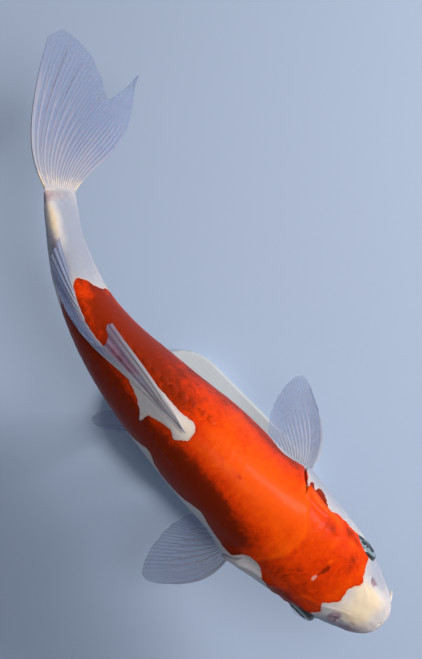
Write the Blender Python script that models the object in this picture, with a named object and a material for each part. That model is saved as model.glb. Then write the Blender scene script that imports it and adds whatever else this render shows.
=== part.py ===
"""Koi carp at life size, turning to its left, held over a flat base by two rods.

Metres, +Z up, head towards -Y, the fish's left towards +X. The origin is on the floor,
at the middle of the whole model's box. A place on the body is given as a share of the
standard length (0 at the snout, 1 at the root of the tail fin) and an angle round the
section (0 on the left side, 90 on the back, 180 on the right side, 270 on the belly).
"""
import math

import bmesh
import bpy
import numpy as np

MM = 0.001
GAP = 0.3 * MM                      # clearance between neighbouring pieces

# --- size and place of the fish -------------------------------------------------------
STANDARD_LENGTH = 0.325             # snout to tail root, along the bent spine
SNOUT_X = 0.0379                    # where the snout tip stands
SNOUT_Y = -0.1945
SPINE_HEIGHT = 0.112                # height of the spine over the floor
SNOUT_ROUND = 0.048                 # share of the length over which the snout rounds off
SNOUT_POWER = 2.2                   # 2 is a round snout, more is blunter

# Backward heading of the spine, in degrees from +X: straight in front, bent behind.
HEADINGS = ((0.00, 104), (0.12, 105), (0.25, 106.5), (0.40, 104), (0.55, 104.5),
            (0.65, 101), (0.74, 92), (0.84, 79.5), (0.93, 69), (1.00, 62))

# Body plan in mm: share of length, half width, height of the back, depth of the belly.
BODY_PLAN = (
    (0.00, 15.0, 12.0, 10.5),
    (0.04, 17.2, 15.5, 14.5),
    (0.08, 22.6, 21.0, 19.5),
    (0.125, 27.0, 27.0, 24.5),
    (0.17, 30.0, 32.5, 29.0),
    (0.22, 32.2, 38.0, 33.0),
    (0.28, 32.6, 43.5, 38.0),
    (0.36, 31.4, 48.0, 42.5),
    (0.45, 30.4, 50.0, 44.5),
    (0.53, 27.6, 47.5, 43.0),
    (0.61, 24.2, 42.0, 38.5),
    (0.69, 19.8, 35.0, 31.0),
    (0.77, 15.4, 28.0, 25.5),
    (0.85, 12.3, 21.8, 20.4),
    (0.92, 8.8, 17.8, 17.2),
    (0.97, 6.0, 17.2, 16.8),
    (1.00, 1.3, 17.6, 17.2),
)
DROPS = ((0.00, -7.0), (0.10, -3.5), (0.20, -1.0), (0.30, 0.0), (1.00, 0.0))   # mm
ROLLS = ((0.00, 3), (0.30, 3), (0.50, 1.5), (0.65, 1), (0.76, 6), (0.84, 9), (0.92, 17),
         (1.00, 28))                            # degrees that the back leans to the right
FULLNESS = ((0.00, 2.1), (0.05, 2.3), (0.125, 2.6), (0.20, 2.5), (0.32, 2.25),
            (0.50, 2.1), (1.00, 2.0))           # 2 is an ellipse, more is squarer

ROUND = 32                          # points round the body
SPINE_STEPS = 400
SNOUT_RINGS = 8
HEAD_RINGS = 8
TRUNK_RINGS = (8, 7, 7, 9)          # front, middle, rear of the trunk, tail stem
GUIDE_RINGS = 50

# --- where the body is parted -----------------------------------------------------------
NAPE_CUT = 0.212                    # back edge of the skull on the back
SIDE_CUT = 0.040                    # how much further back the cut runs on the sides
THROAT_CUT = 0.022                  # and under the throat
TRUNK_CUTS = (0.43, 0.62, 0.80)     # between front, middle, rear and tail stem

# --- head -------------------------------------------------------------------------------
EYE_RADIUS = 8.3 * MM
EYE_SHARE = 0.130
EYE_ANGLE = 11                      # degrees over the widest line of the head
EYE_TILT = 18                       # degrees that an eye looks upwards
EYE_SUNK = 4.9 * MM                 # centre of the eye under the skin
EYE_SEGMENTS, EYE_RINGS = 16, 10

GILL_FRONT = 0.172
GILL_REAR = 0.286
GILL_BOW = 0.034                    # the rear edge is curved by this share
GILL_LOW, GILL_HIGH = -64, 40       # degrees below and above the widest line
GILL_THICK = 3.2 * MM
GILL_SWELLS = {1: 2.8 * MM, -1: 4.8 * MM}   # the rear edge stands this proud, left and right
GILL_ROWS, GILL_COLUMNS = 10, 6
CHEEK_RADIUS = 33 * MM              # of the section there, to turn a margin into an angle

LIPS = {                            # mm: half width, front, height, depth of bow, tube radius
    "upper_lip": dict(half=11.6, front=3.4, height=-10.5, bow=13.0, sag=3.5, radius=3.5),
    "lower_lip": dict(half=8.6, front=7.0, height=-17.5, bow=7.8, sag=0.0, radius=3.0),
}
LIP_TURN = 98                       # degrees of the horseshoe on each side
LIP_TAPER = 0.45                    # the corners are thinner by this share
LIP_POINTS = 13
BARBELS = {                         # mm in the head's frame: start, sideways bend, tip
    "front": ((7.0, 11.5, -9.5), (7.0, 15.0, -12.5), (9.5, 17.0, -17.0), 1.1),
    "rear": ((15.0, 12.5, -15.5), (16.5, 16.5, -20.5), (23.0, 18.0, -28.0), 1.5),
}

BARBEL_TAPER = 0.68                 # the tip is thinner by this share
BARBEL_POINTS, BARBEL_SIDES = 7, 6

# --- fins -------------------------------------------------------------------------------
FIN_ROOT = 2.0 * MM                 # thickness at the root
FIN_EDGE = 0.9 * MM                 # thickness at the free edge

DORSAL_BASE = (0.503, 0.815)
DORSAL_RAYS, DORSAL_STEPS = 20, 5
DORSAL_LENGTHS = ((0.00, 75), (0.05, 70), (0.10, 58), (0.20, 46), (0.35, 42), (0.55, 40),
                  (0.80, 37), (1.00, 31))       # mm, from the leading ray to the last
DORSAL_RISES = ((0.00, 13), (0.08, 10), (0.20, 6), (0.35, 9), (0.60, 12), (0.85, 10), (1.00, 9))
DORSAL_LEANS = ((0.00, -46), (0.08, -38), (0.16, 5), (0.30, 55), (0.60, 70), (0.80, 62),
                (1.00, -52))                    # degrees, to the left below zero
DORSAL_CURVES = ((0.00, 0.72), (0.10, 0.85), (0.25, 1.0), (1.00, 0.9))  # below 1 lifts early

# Paired and anal fins: rays fan from a short base, given as (share, angle) on the skin.
# A ray's direction is (degrees outwards from straight back, degrees downwards). The rays
# bow by some mm towards a heading of (backwards, outwards), and lose the round_off share of
# their length towards the last, slowly at first where fall is high.
FANS = {
    "pectoral_fin_left": dict(side=1, base=((0.284, -32), (0.308, -46)), length=62,
                              lead=(52, 18), trail=(15, 12), bow=10.0, heading=(-0.7, 0.7),
                              round_off=0.62, fall=1.25),
    "pectoral_fin_right": dict(side=-1, base=((0.289, -39), (0.310, -53)), length=70,
                               lead=(78, 18), trail=(23, 14), bow=13.0, heading=(-0.7, 0.7),
                               round_off=0.78, fall=1.05),
    "pelvic_fin_left": dict(side=1, base=((0.490, -64), (0.515, -75)), length=46,
                            lead=(15, 14), trail=(-3, 10), bow=1.0, heading=(0, 1),
                            round_off=0.50, fall=1.7),
    "pelvic_fin_right": dict(side=-1, base=((0.490, -64), (0.515, -75)), length=54,
                             lead=(37, 8), trail=(20, 10), bow=1.5, heading=(0, 1),
                             round_off=0.75, fall=1.7),
    "anal_fin": dict(side=1, base=((0.745, -90), (0.812, -90)), length=40,
                     lead=(0, 50), trail=(0, 30), bow=1.0, heading=(-1, 0),
                     round_off=0.45, fall=1.7),
}
FAN_RAYS, FAN_STEPS = 10, 6
FAN_INSET = 2.0 * MM                # fins start this far inside and are trimmed back
PEAK_RAY = 0.16                     # share of the fan where the longest ray stands
LEAD_SHORTER = 0.16                 # the leading ray is shorter by this share

UPPER_LOBE = 82 * MM                # longest ray of each lobe
LOWER_LOBE = 96 * MM
FORK_RAY = 60 * MM                  # middle ray, between the lobes
TAIL_FAN = 29                       # degrees that the outer rays spread
TAIL_ROOT_HALF = 16.5 * MM
TAIL_INSET = 1.0 * MM               # the lobes start this far inside and are trimmed back
TAIL_REACH = 110                    # mm, past the longest ray
TAIL_RAYS, TAIL_STEPS = 9, 9
TAIL_TURN = ((0, 60), (12, 45), (30, 28), (50, 22), (75, 21), (110, 24))   # mm, degrees
TAIL_ROLL = ((0, 28), (10, 37), (22, 43), (110, 47))                       # mm, degrees
LOWER_ROLL = ((0, 28), (10, 30), (22, 29), (38, 26), (53, 20), (69, 9), (82, 1), (110, -2))
LOBE_BLEND = (-0.22, 0.12)          # rays between which the lower lobe's roll becomes the upper's
UPPER_TWIST = 14                    # degrees that the upper lobe lies flatter at its tip
TWIST_REACH = 80                    # mm over which it twists
TWIST_POWER = 1.7                   # how late along the rays it does
LOBE_TIP = 0.10                     # the outermost rays are shorter by this share

# --- stand ------------------------------------------------------------------------------
BASE_LENGTH = 0.136
BASE_WIDTH = 0.070
BASE_THICK = 0.012
BASE_CORNER = 0.030
BASE_BEVEL = 0.0015
ROD_SHARES = (0.315, 0.535)         # where the rods meet the belly
ROD_RADIUS = 0.0032
ROD_SIDES = 18
ROD_REACH = 8 * MM                  # how far a rod runs past the belly line, then is trimmed
CORNER_POINTS = 7
FOOT_RADIUS = 0.0085
FOOT_HEIGHT = 0.003
FOOT_BEVEL = 0.0006

SKIN_RED = (0.86, 0.10, 0.01, 1)
SKIN_WHITE = (0.84, 0.80, 0.74, 1)
FIN_WHITE = (0.74, 0.78, 0.84, 1)
EYE_DARK = (0.03, 0.035, 0.05, 1)
BASE_PALE = (0.80, 0.82, 0.84, 1)
STEEL = (0.60, 0.61, 0.62, 1)


# --- curves through named stations -------------------------------------------------------
def smooth(stations, at):
    """Smooth curve through (place, value) stations, read at one or many places."""
    x, y = (np.array(v, float) for v in zip(*stations))
    slope = np.gradient(y, x)
    at = np.clip(np.asarray(at, float), x[0], x[-1])
    i = np.clip(np.searchsorted(x, at, side="right") - 1, 0, len(x) - 2)
    span = x[i + 1] - x[i]
    t = (at - x[i]) / span
    return ((1 + 2 * t) * (1 - t) ** 2 * y[i] + t * (1 - t) ** 2 * span * slope[i]
            + t * t * (3 - 2 * t) * y[i + 1] + t * t * (t - 1) * span * slope[i + 1])


def column(k):
    """One column of the body plan as stations."""
    return [(row[0], row[k]) for row in BODY_PLAN]


def walk(headings, length, steps):
    """Distances and places along a path whose heading is read from stations."""
    share = np.linspace(0, 1, steps + 1)
    turn = np.radians(headings(share))
    middle = (turn[1:] + turn[:-1]) / 2
    step = length / steps
    east = np.r_[0, np.cumsum(np.cos(middle) * step)]
    north = np.r_[0, np.cumsum(np.sin(middle) * step)]
    return share * length, east, north


SPINE = walk(lambda s: smooth(HEADINGS, s), STANDARD_LENGTH, SPINE_STEPS)


def spine_point(share):
    """Point on the spine; past either end it runs straight on."""
    share = np.asarray(share, float)
    along = share * STANDARD_LENGTH
    over = along - np.clip(along, 0, STANDARD_LENGTH)
    turn = np.radians(smooth(HEADINGS, share))
    x = SNOUT_X + np.interp(along, SPINE[0], SPINE[1]) + over * np.cos(turn)
    y = SNOUT_Y + np.interp(along, SPINE[0], SPINE[2]) + over * np.sin(turn)
    z = SPINE_HEIGHT + smooth(DROPS, share) * MM
    return np.stack([x, y, z], -1)


def directions(turn, roll):
    """Backward, left and up directions for a heading and a roll, in degrees."""
    turn, roll = np.radians(turn), np.radians(roll)
    zero, one = np.zeros_like(turn), np.ones_like(turn)
    back = np.stack([np.cos(turn), np.sin(turn), zero], -1)
    flat_left = np.stack([np.sin(turn), -np.cos(turn), zero], -1)
    up = np.stack([zero, zero, one], -1)
    c, s = np.cos(roll)[..., None], np.sin(roll)[..., None]
    return back, c * flat_left + s * up, c * up - s * flat_left


def body_frame(share):
    """Backward, left and up directions of the body at a share of its length."""
    return directions(smooth(HEADINGS, share), smooth(ROLLS, share))


def body_point(share, angle, grow=0.0):
    """Point of the skin; grow moves it outwards."""
    share, angle = np.broadcast_arrays(np.asarray(share, float), np.radians(angle))
    blunt = 1 - np.clip(share / SNOUT_ROUND, 0, 1)
    cap = np.sqrt(np.clip(1 - blunt ** SNOUT_POWER, 0, 1))
    power = 2 / smooth(FULLNESS, share)
    c, s = np.cos(angle), np.sin(angle)
    height = np.where(s >= 0, smooth(column(2), share), smooth(column(3), share))
    across = smooth(column(1), share) * MM * cap + grow
    upward = height * MM * cap + grow
    _, left, up = body_frame(share)
    return (spine_point(share)
            + (across * np.sign(c) * np.abs(c) ** power)[..., None] * left
            + (upward * np.sign(s) * np.abs(s) ** power)[..., None] * up)


def head_point(back, side, height):
    """Point in the head's own frame: mm behind the snout, to the left and up."""
    share = np.asarray(back, float) * MM / STANDARD_LENGTH
    _, left, up = body_frame(share)
    base = spine_point(share)
    base[..., 2] -= smooth(DROPS, share) * MM
    return base + np.asarray(side)[..., None] * MM * left + np.asarray(height)[..., None] * MM * up


# --- meshes -----------------------------------------------------------------------------
def material(name, colour, roughness, metallic=0.0):
    finish = bpy.data.materials.new(name)
    finish.use_nodes = True
    shader = finish.node_tree.nodes["Principled BSDF"]
    shader.inputs["Base Color"].default_value = colour
    shader.inputs["Roughness"].default_value = roughness
    shader.inputs["Metallic"].default_value = metallic
    finish.diffuse_color = colour
    return finish


def add_object(name, shape, colour, roughness=0.25, metallic=0.0):
    """Object from a bmesh, its faces turned outwards and shaded smooth."""
    bmesh.ops.recalc_face_normals(shape, faces=shape.faces[:])
    mesh = bpy.data.meshes.new(name)
    shape.to_mesh(mesh)
    shape.free()
    mesh.shade_smooth()
    mesh.set_sharp_from_angle(angle=math.radians(40))
    mesh.materials.append(material(name, colour, roughness, metallic))
    made = bpy.data.objects.new(name, mesh)
    bpy.context.scene.collection.objects.link(made)
    return made


def add_guide(name, shape):
    """Hidden shape that only cuts others."""
    guide = add_object(name, shape, STEEL)
    guide.hide_render = True
    guide.display_type = "WIRE"
    return guide


def cut(target, *tools):
    """Takes the tools' shapes out of the target."""
    for tool in tools:
        step = target.modifiers.new("cut_" + tool.name, "BOOLEAN")
        step.operation = "DIFFERENCE"
        step.solver = "EXACT"
        step.object = tool


def loft(rings):
    """Closed body through rings of points; a ring of zero size becomes one point."""
    shape = bmesh.new()
    rows = []
    for ring in rings:
        if np.ptp(ring, axis=0).max() < 1e-7:
            rows.append([shape.verts.new(ring[0])])
        else:
            rows.append([shape.verts.new(p) for p in ring])
    for near, far in zip(rows[:-1], rows[1:]):
        count = max(len(near), len(far))
        for i in range(count):
            j = (i + 1) % count
            if len(near) == 1:
                shape.faces.new((near[0], far[j], far[i]))
            elif len(far) == 1:
                shape.faces.new((near[i], near[j], far[0]))
            else:
                shape.faces.new((near[i], near[j], far[j], far[i]))
    for row, ring in ((rows[0], rings[0]), (rows[-1], rings[-1])):
        if len(row) > 1:
            hub = shape.verts.new(ring.mean(axis=0))
            for i, corner in enumerate(row):
                shape.faces.new((corner, row[(i + 1) % len(row)], hub))
    return shape


def plate(top, bottom):
    """Closed body between two grids of points of the same size."""
    shape = bmesh.new()
    rows, columns = top.shape[:2]
    upper, lower = ([[shape.verts.new(p) for p in row] for row in grid]
                    for grid in (top, bottom))
    for i in range(rows - 1):
        for j in range(columns - 1):
            for grid in (upper, lower):
                shape.faces.new((grid[i][j], grid[i + 1][j], grid[i + 1][j + 1], grid[i][j + 1]))
    rim = ([(i, 0) for i in range(rows)] + [(rows - 1, j) for j in range(1, columns)]
           + [(i, columns - 1) for i in range(rows - 2, -1, -1)]
           + [(0, j) for j in range(columns - 2, 0, -1)])
    for k, (i, j) in enumerate(rim):
        m, n = rim[(k + 1) % len(rim)]
        shape.faces.new((upper[i][j], upper[m][n], lower[m][n], lower[i][j]))
    return shape


def slab(middle, thickness):
    """Closed body of a given thickness about a grid of points."""
    along = np.gradient(middle, axis=1)
    across = np.gradient(middle, axis=0)
    normal = np.cross(across, along)
    normal /= np.linalg.norm(normal, axis=-1, keepdims=True)
    half = normal * thickness[..., None] / 2
    return plate(middle + half, middle - half)


def tube(points, radii, sides=8):
    """Closed round body along a path, with a radius at each point."""
    tangent = np.gradient(points, axis=0)
    tangent /= np.linalg.norm(tangent, axis=-1, keepdims=True)
    side = np.cross(tangent, (0, 0, 1.0))
    side /= np.linalg.norm(side, axis=-1, keepdims=True)
    other = np.cross(tangent, side)
    turn = np.linspace(0, 2 * math.pi, sides, endpoint=False)
    ring = (np.cos(turn)[None, :, None] * side[:, None] + np.sin(turn)[None, :, None] * other[:, None])
    return loft(points[:, None] + radii[:, None, None] * ring)


# --- body -------------------------------------------------------------------------------
def body_rings(start, end, count, grow=0.0):
    """Rings from start to end, which are numbers or functions of the angle."""
    angle = np.arange(ROUND) * 360 / ROUND
    first, last = (f(angle) if callable(f) else np.full(ROUND, float(f)) for f in (start, end))
    mix = np.linspace(0, 1, count)[:, None]
    share = first * (1 - mix) + last * mix
    return body_point(share, np.broadcast_to(angle, share.shape), grow)


def neck_line(angle):
    """Share at which the head meets the trunk, round the body."""
    a = np.radians(angle)
    return NAPE_CUT + SIDE_CUT * np.cos(a) ** 2 + THROAT_CUT * (1 - np.sin(a)) / 2


def snout_rings(grow=0.0):
    """Rings that round off the snout, closer together towards its tip."""
    turn = np.linspace(0, math.pi / 2, SNOUT_RINGS)
    return [body_rings(s, s, 1, grow)[0] for s in SNOUT_ROUND * (1 - np.cos(turn))]


def head_shape():
    slack = GAP / STANDARD_LENGTH / 2
    rear = body_rings(SNOUT_ROUND, lambda a: neck_line(a) - slack, HEAD_RINGS)
    return loft(snout_rings() + list(rear[1:]))


def build_body():
    slack = GAP / STANDARD_LENGTH / 2
    pieces = {"head": add_object("head", head_shape(), SKIN_RED)}
    starts = (lambda a: neck_line(a) + slack,) + tuple(c + slack for c in TRUNK_CUTS)
    ends = tuple(c - slack for c in TRUNK_CUTS) + (1.0,)
    names = ("trunk_front", "trunk_middle", "trunk_rear", "tail_stem")
    for name, start, end, count in zip(names, starts, ends, TRUNK_RINGS):
        rings = body_rings(start, end, count)
        colour = SKIN_WHITE if name == "tail_stem" else SKIN_RED
        pieces[name] = add_object(name, loft(rings), colour)
    return pieces


def body_guide():
    """The whole body grown by the gap, to trim what meets it."""
    end = 1.0 + GAP / STANDARD_LENGTH
    rings = snout_rings(GAP) + list(body_rings(SNOUT_ROUND, end, GUIDE_RINGS, GAP)[1:])
    return add_guide("guide_body", loft(rings))


# --- head pieces ------------------------------------------------------------------------
def eye_places():
    """Name and centre of each eye."""
    for name, side in (("eye_left", 1), ("eye_right", -1)):
        angle = EYE_ANGLE if side > 0 else 180 - EYE_ANGLE
        skin = body_point(EYE_SHARE, angle)
        _, left, up = body_frame(EYE_SHARE)
        tilt = math.radians(EYE_TILT)
        outward = side * math.cos(tilt) * left + math.sin(tilt) * up
        yield name, skin - outward * EYE_SUNK


def ball(centre, radius):
    shape = bmesh.new()
    bmesh.ops.create_uvsphere(shape, u_segments=EYE_SEGMENTS, v_segments=EYE_RINGS, radius=radius)
    bmesh.ops.translate(shape, vec=centre, verts=shape.verts[:])
    return shape


def build_eyes(pieces):
    for name, centre in eye_places():
        add_object(name, ball(centre, EYE_RADIUS), EYE_DARK, 0.08)
        cut(pieces["head"], add_guide("socket_" + name, ball(centre, EYE_RADIUS + GAP)))


def gill_grid(side, lift, margin=0.0):
    """Grid of points over a gill cover; margin widens it all round, in metres."""
    down, along = np.meshgrid(np.linspace(0, 1, GILL_ROWS), np.linspace(0, 1, GILL_COLUMNS),
                              indexing="ij")
    wide = margin / STANDARD_LENGTH
    round_margin = math.degrees(margin / CHEEK_RADIUS)
    angle = GILL_LOW - round_margin + (GILL_HIGH - GILL_LOW + 2 * round_margin) * down
    rear = GILL_REAR - GILL_BOW * (2 * down - 1) ** 2 + wide
    front = GILL_FRONT + 0.4 * GILL_BOW * (2 * down - 1) ** 2 - wide
    share = front + (rear - front) * along
    if side < 0:
        angle = 180 - angle
    return body_point(share, angle, lift(along))


def build_gill_covers(pieces):
    for name, side in (("gill_cover_left", 1), ("gill_cover_right", -1)):
        proud = lambda along: GILL_SWELLS[side] * along ** 2
        inner = gill_grid(side, lambda along: proud(along) - GILL_THICK)
        add_object(name, plate(gill_grid(side, proud), inner), SKIN_WHITE)
        floor = gill_grid(side, lambda along: proud(along) - GILL_THICK - GAP, GAP)
        roof = gill_grid(side, lambda along: proud(along) + 4 * GILL_SWELLS[side], GAP)
        recess = add_guide("recess_" + name, plate(roof, floor))
        cut(pieces["head"], recess)
        cut(pieces["trunk_front"], recess)


def lip_path(lip):
    """Horseshoe path of a lip and its radius, which tapers to the corners."""
    turn = np.linspace(-1, 1, LIP_POINTS)
    bend = turn * math.radians(LIP_TURN)
    back = lip["front"] + lip["bow"] * (1 - np.cos(bend))
    height = lip["height"] - lip["sag"] * (1 - np.cos(bend))
    radius = lip["radius"] * (1 - LIP_TAPER * np.abs(turn) ** 3)
    return head_point(back, lip["half"] * np.sin(bend), height), radius * MM


def build_lips(pieces):
    for name, lip in LIPS.items():
        path, radius = lip_path(lip)
        add_object(name, tube(path, radius), SKIN_WHITE)
        cut(pieces["head"], add_guide("seat_" + name, tube(path, radius + GAP)))


def build_barbels(guides):
    """Two feelers a side: a short one on the upper lip, a longer one at the corner."""
    for place, (start, bend, tip, thick) in BARBELS.items():
        for side_name, side in (("left", 1), ("right", -1)):
            t = np.linspace(0, 1, BARBEL_POINTS)[:, None]
            path = ((1 - t) ** 2 * np.array(start) + 2 * t * (1 - t) * np.array(bend)
                    + t * t * np.array(tip))
            points = head_point(path[:, 0], side * path[:, 1], path[:, 2])
            radii = thick * MM * (1 - BARBEL_TAPER * t[:, 0] ** 1.2)
            shape = tube(points, radii, BARBEL_SIDES)
            feeler = add_object(f"barbel_{place}_{side_name}", shape, SKIN_WHITE)
            cut(feeler, *guides)


# --- fins -------------------------------------------------------------------------------
def fin_thickness(t):
    return FIN_ROOT + (FIN_EDGE - FIN_ROOT) * t ** 0.7


def dorsal_grid(rays, steps):
    """Folded dorsal fin: rays laid back along the ridge, fallen over to the right."""
    u, t = np.meshgrid(np.linspace(0, 1, rays), np.linspace(0, 1, steps), indexing="ij")
    length = smooth(DORSAL_LENGTHS, u) * MM
    rise = np.radians(smooth(DORSAL_RISES, u))
    lean = np.radians(smooth(DORSAL_LEANS, u))
    base = DORSAL_BASE[0] + (DORSAL_BASE[1] - DORSAL_BASE[0]) * u
    share = base + t * length * np.cos(rise) / STANDARD_LENGTH
    _, left, up = body_frame(share)
    lift = (t ** smooth(DORSAL_CURVES, u) * length * np.sin(rise)
            + 0.6 * FIN_ROOT * (1 - t))
    return (body_point(share, 90)
            + (lift * np.cos(lean))[..., None] * up - (lift * np.sin(lean))[..., None] * left), t


def fan_grid(fan, rays, steps):
    """Fin whose rays fan out from a short base on the skin."""
    v, t = np.meshgrid(np.linspace(0, 1, rays), np.linspace(0, 1, steps), indexing="ij")
    (share_a, angle_a), (share_b, angle_b) = fan["base"]
    angle = angle_a + (angle_b - angle_a) * v
    share = share_a + (share_b - share_a) * v
    side = fan["side"]
    root = body_point(share, angle if side > 0 else 180 - angle, -FAN_INSET)
    back, left, up = body_frame(share)
    out = np.radians(fan["lead"][0] + (fan["trail"][0] - fan["lead"][0]) * v)
    down = np.radians(fan["lead"][1] + (fan["trail"][1] - fan["lead"][1]) * v)
    ray = ((np.cos(down) * np.cos(out))[..., None] * back
           + (side * np.cos(down) * np.sin(out))[..., None] * left - np.sin(down)[..., None] * up)
    before = np.clip(1 - v / PEAK_RAY, 0, 1)
    after = np.clip((v - PEAK_RAY) / (1 - PEAK_RAY), 0, 1)
    length = fan["length"] * MM * (1 - LEAD_SHORTER * before ** 2 - fan["round_off"] * after ** fan["fall"])
    bulge = fan["bow"] * MM * np.sin(math.pi * t ** 0.75) * (1 - v) ** 1.5
    backwards, outwards = fan["heading"]
    bent = backwards * back + outwards * side * left
    return root + (t * length)[..., None] * ray + bulge[..., None] * bent, t


def tail_grid(low, high, rays, steps):
    """Part of the tail fin, from ray low to ray high, where -1 is lowest and 1 highest."""
    v, t = np.meshgrid(np.linspace(low, high, rays), np.linspace(0, 1, steps), indexing="ij")
    spread = np.radians(TAIL_FAN) * v
    longest = np.where(v > 0, UPPER_LOBE, LOWER_LOBE)
    length = FORK_RAY + (longest - FORK_RAY) * np.sin(np.abs(v) * math.pi / 2) ** 1.35
    length *= 1 - LOBE_TIP * np.clip(np.abs(v) - 0.86, 0, 1) / 0.14
    along = t * length * np.cos(spread)
    away = v * TAIL_ROOT_HALF + t * length * np.sin(spread) * (1.28 - 0.28 * t)
    mm_along, east, north = walk(lambda s: smooth(TAIL_TURN, s * TAIL_REACH),
                                 TAIL_REACH * MM, SPINE_STEPS)
    reach = along / MM
    twist = np.clip(reach / TWIST_REACH, 0, 1.2) ** TWIST_POWER
    blend = np.clip((v - LOBE_BLEND[0]) / (LOBE_BLEND[1] - LOBE_BLEND[0]), 0, 1)
    blend = blend * blend * (3 - 2 * blend)
    roll = (blend * (smooth(TAIL_ROLL, reach) + twist * np.maximum(v, 0) * UPPER_TWIST)
            + (1 - blend) * smooth(LOWER_ROLL, reach))
    _, _, up = directions(smooth(TAIL_TURN, reach), roll)
    root = spine_point(1.0) - body_frame(1.0)[0] * TAIL_INSET
    place = np.stack([np.interp(along, mm_along, east), np.interp(along, mm_along, north),
                      np.zeros_like(along)], -1)
    return root + place + away[..., None] * up, t


def build_fins(guide):
    middle, t = dorsal_grid(DORSAL_RAYS, DORSAL_STEPS)
    cut(add_object("dorsal_fin", slab(middle, fin_thickness(t)), FIN_WHITE), guide)
    for name, fan in FANS.items():
        middle, t = fan_grid(fan, FAN_RAYS, FAN_STEPS)
        cut(add_object(name, slab(middle, fin_thickness(t)), FIN_WHITE), guide)
    part = GAP / TAIL_ROOT_HALF / 2
    for name, low, high in (("tail_fin_upper", part, 1), ("tail_fin_lower", -1, -part)):
        middle, t = tail_grid(low, high, TAIL_RAYS, TAIL_STEPS)
        cut(add_object(name, slab(middle, fin_thickness(t)), FIN_WHITE), guide)


# --- stand ------------------------------------------------------------------------------
def belly_place(share):
    """Point of the belly's lowest line at a share of the length."""
    return body_point(share, 270)


def build_stand(guide):
    """A rounded flat base and two round rods that reach up to the belly."""
    places = [belly_place(s) for s in ROD_SHARES]
    centre = (places[0] + places[1]) / 2
    run = places[1] - places[0]
    turn = math.atan2(run[1], run[0])
    corner = np.linspace(0, math.pi / 2, CORNER_POINTS)
    outline = []
    for k, (sx, sy) in enumerate(((1, 1), (-1, 1), (-1, -1), (1, -1))):
        bend = corner + k * math.pi / 2
        outline.append(np.stack([sx * (BASE_LENGTH / 2 - BASE_CORNER) + BASE_CORNER * np.cos(bend),
                                 sy * (BASE_WIDTH / 2 - BASE_CORNER) + BASE_CORNER * np.sin(bend)], -1))
    outline = np.concatenate(outline)
    shape = bmesh.new()
    ring = [shape.verts.new((centre[0] + math.cos(turn) * x - math.sin(turn) * y,
                             centre[1] + math.sin(turn) * x + math.cos(turn) * y, 0))
            for x, y in outline]
    floor = shape.faces.new(ring)
    raised = bmesh.ops.extrude_face_region(shape, geom=[floor])["geom"]
    bmesh.ops.translate(shape, vec=(0, 0, BASE_THICK),
                        verts=[g for g in raised if isinstance(g, bmesh.types.BMVert)])
    edge = [e for e in shape.edges if all(v.co.z > BASE_THICK / 2 for v in e.verts)]
    bmesh.ops.bevel(shape, geom=edge, offset=BASE_BEVEL, segments=2, profile=0.5, affect="EDGES")
    add_object("stand_base", shape, BASE_PALE, 0.4)
    for name, place in zip(("stand_rod_front", "stand_rod_rear"), places):
        low = BASE_THICK + GAP
        profile = ((FOOT_RADIUS, low), (FOOT_RADIUS, low + FOOT_HEIGHT - FOOT_BEVEL),
                   (FOOT_RADIUS - FOOT_BEVEL, low + FOOT_HEIGHT), (ROD_RADIUS, low + FOOT_HEIGHT),
                   (ROD_RADIUS, place[2] + ROD_REACH))
        bend = np.linspace(0, 2 * math.pi, ROD_SIDES, endpoint=False)
        rings = [np.stack([place[0] + r * np.cos(bend), place[1] + r * np.sin(bend),
                           np.full(ROD_SIDES, z)], -1) for r, z in profile]
        cut(add_object(name, loft(rings), STEEL, 0.3, 1.0), guide)


def main():
    for old in list(bpy.data.objects):
        bpy.data.objects.remove(old, do_unlink=True)
    pieces = build_body()
    guide = body_guide()
    build_eyes(pieces)
    build_gill_covers(pieces)
    build_lips(pieces)
    build_barbels([guide] + [bpy.data.objects["seat_" + name] for name in LIPS])
    build_fins(guide)
    build_stand(guide)


main()
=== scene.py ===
"""Finish of a life-size koi carp on a display stand: skin, fins, eyes, barbels, stand, stage.

Metres, +Z up, head towards -Y. A place on the body is a share of the standard length (0 at
the snout, 1 at the root of the tail fin) and an angle round the section (0 on the left side,
90 on the back, 180 on the right side, -90 on the belly), as in the frame's own body plan.
"""
import math

import bpy
import numpy as np
from mathutils import Matrix, Vector, noise


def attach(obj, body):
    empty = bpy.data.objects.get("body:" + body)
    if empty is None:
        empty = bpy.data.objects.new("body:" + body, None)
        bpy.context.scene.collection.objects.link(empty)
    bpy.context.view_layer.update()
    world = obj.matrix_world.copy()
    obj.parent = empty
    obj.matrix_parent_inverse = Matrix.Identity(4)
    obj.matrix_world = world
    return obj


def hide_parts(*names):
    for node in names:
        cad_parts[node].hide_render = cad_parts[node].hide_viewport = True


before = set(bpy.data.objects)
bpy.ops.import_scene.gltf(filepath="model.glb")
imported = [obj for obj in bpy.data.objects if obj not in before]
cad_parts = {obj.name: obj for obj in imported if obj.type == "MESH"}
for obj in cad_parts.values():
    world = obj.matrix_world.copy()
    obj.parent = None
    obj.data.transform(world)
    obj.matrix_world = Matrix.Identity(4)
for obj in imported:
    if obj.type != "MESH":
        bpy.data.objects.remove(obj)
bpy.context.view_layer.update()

bl_info = {
    "name": "Koi carp display model",
    "version": (1, 0, 0),
    "blender": (4, 5, 0),
    "location": "View3D > Sidebar > Koi",
    "description": "Skins, fins and finishes a life-size koi carp on its stand",
    "category": "Object",
}

MM = 0.001

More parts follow.
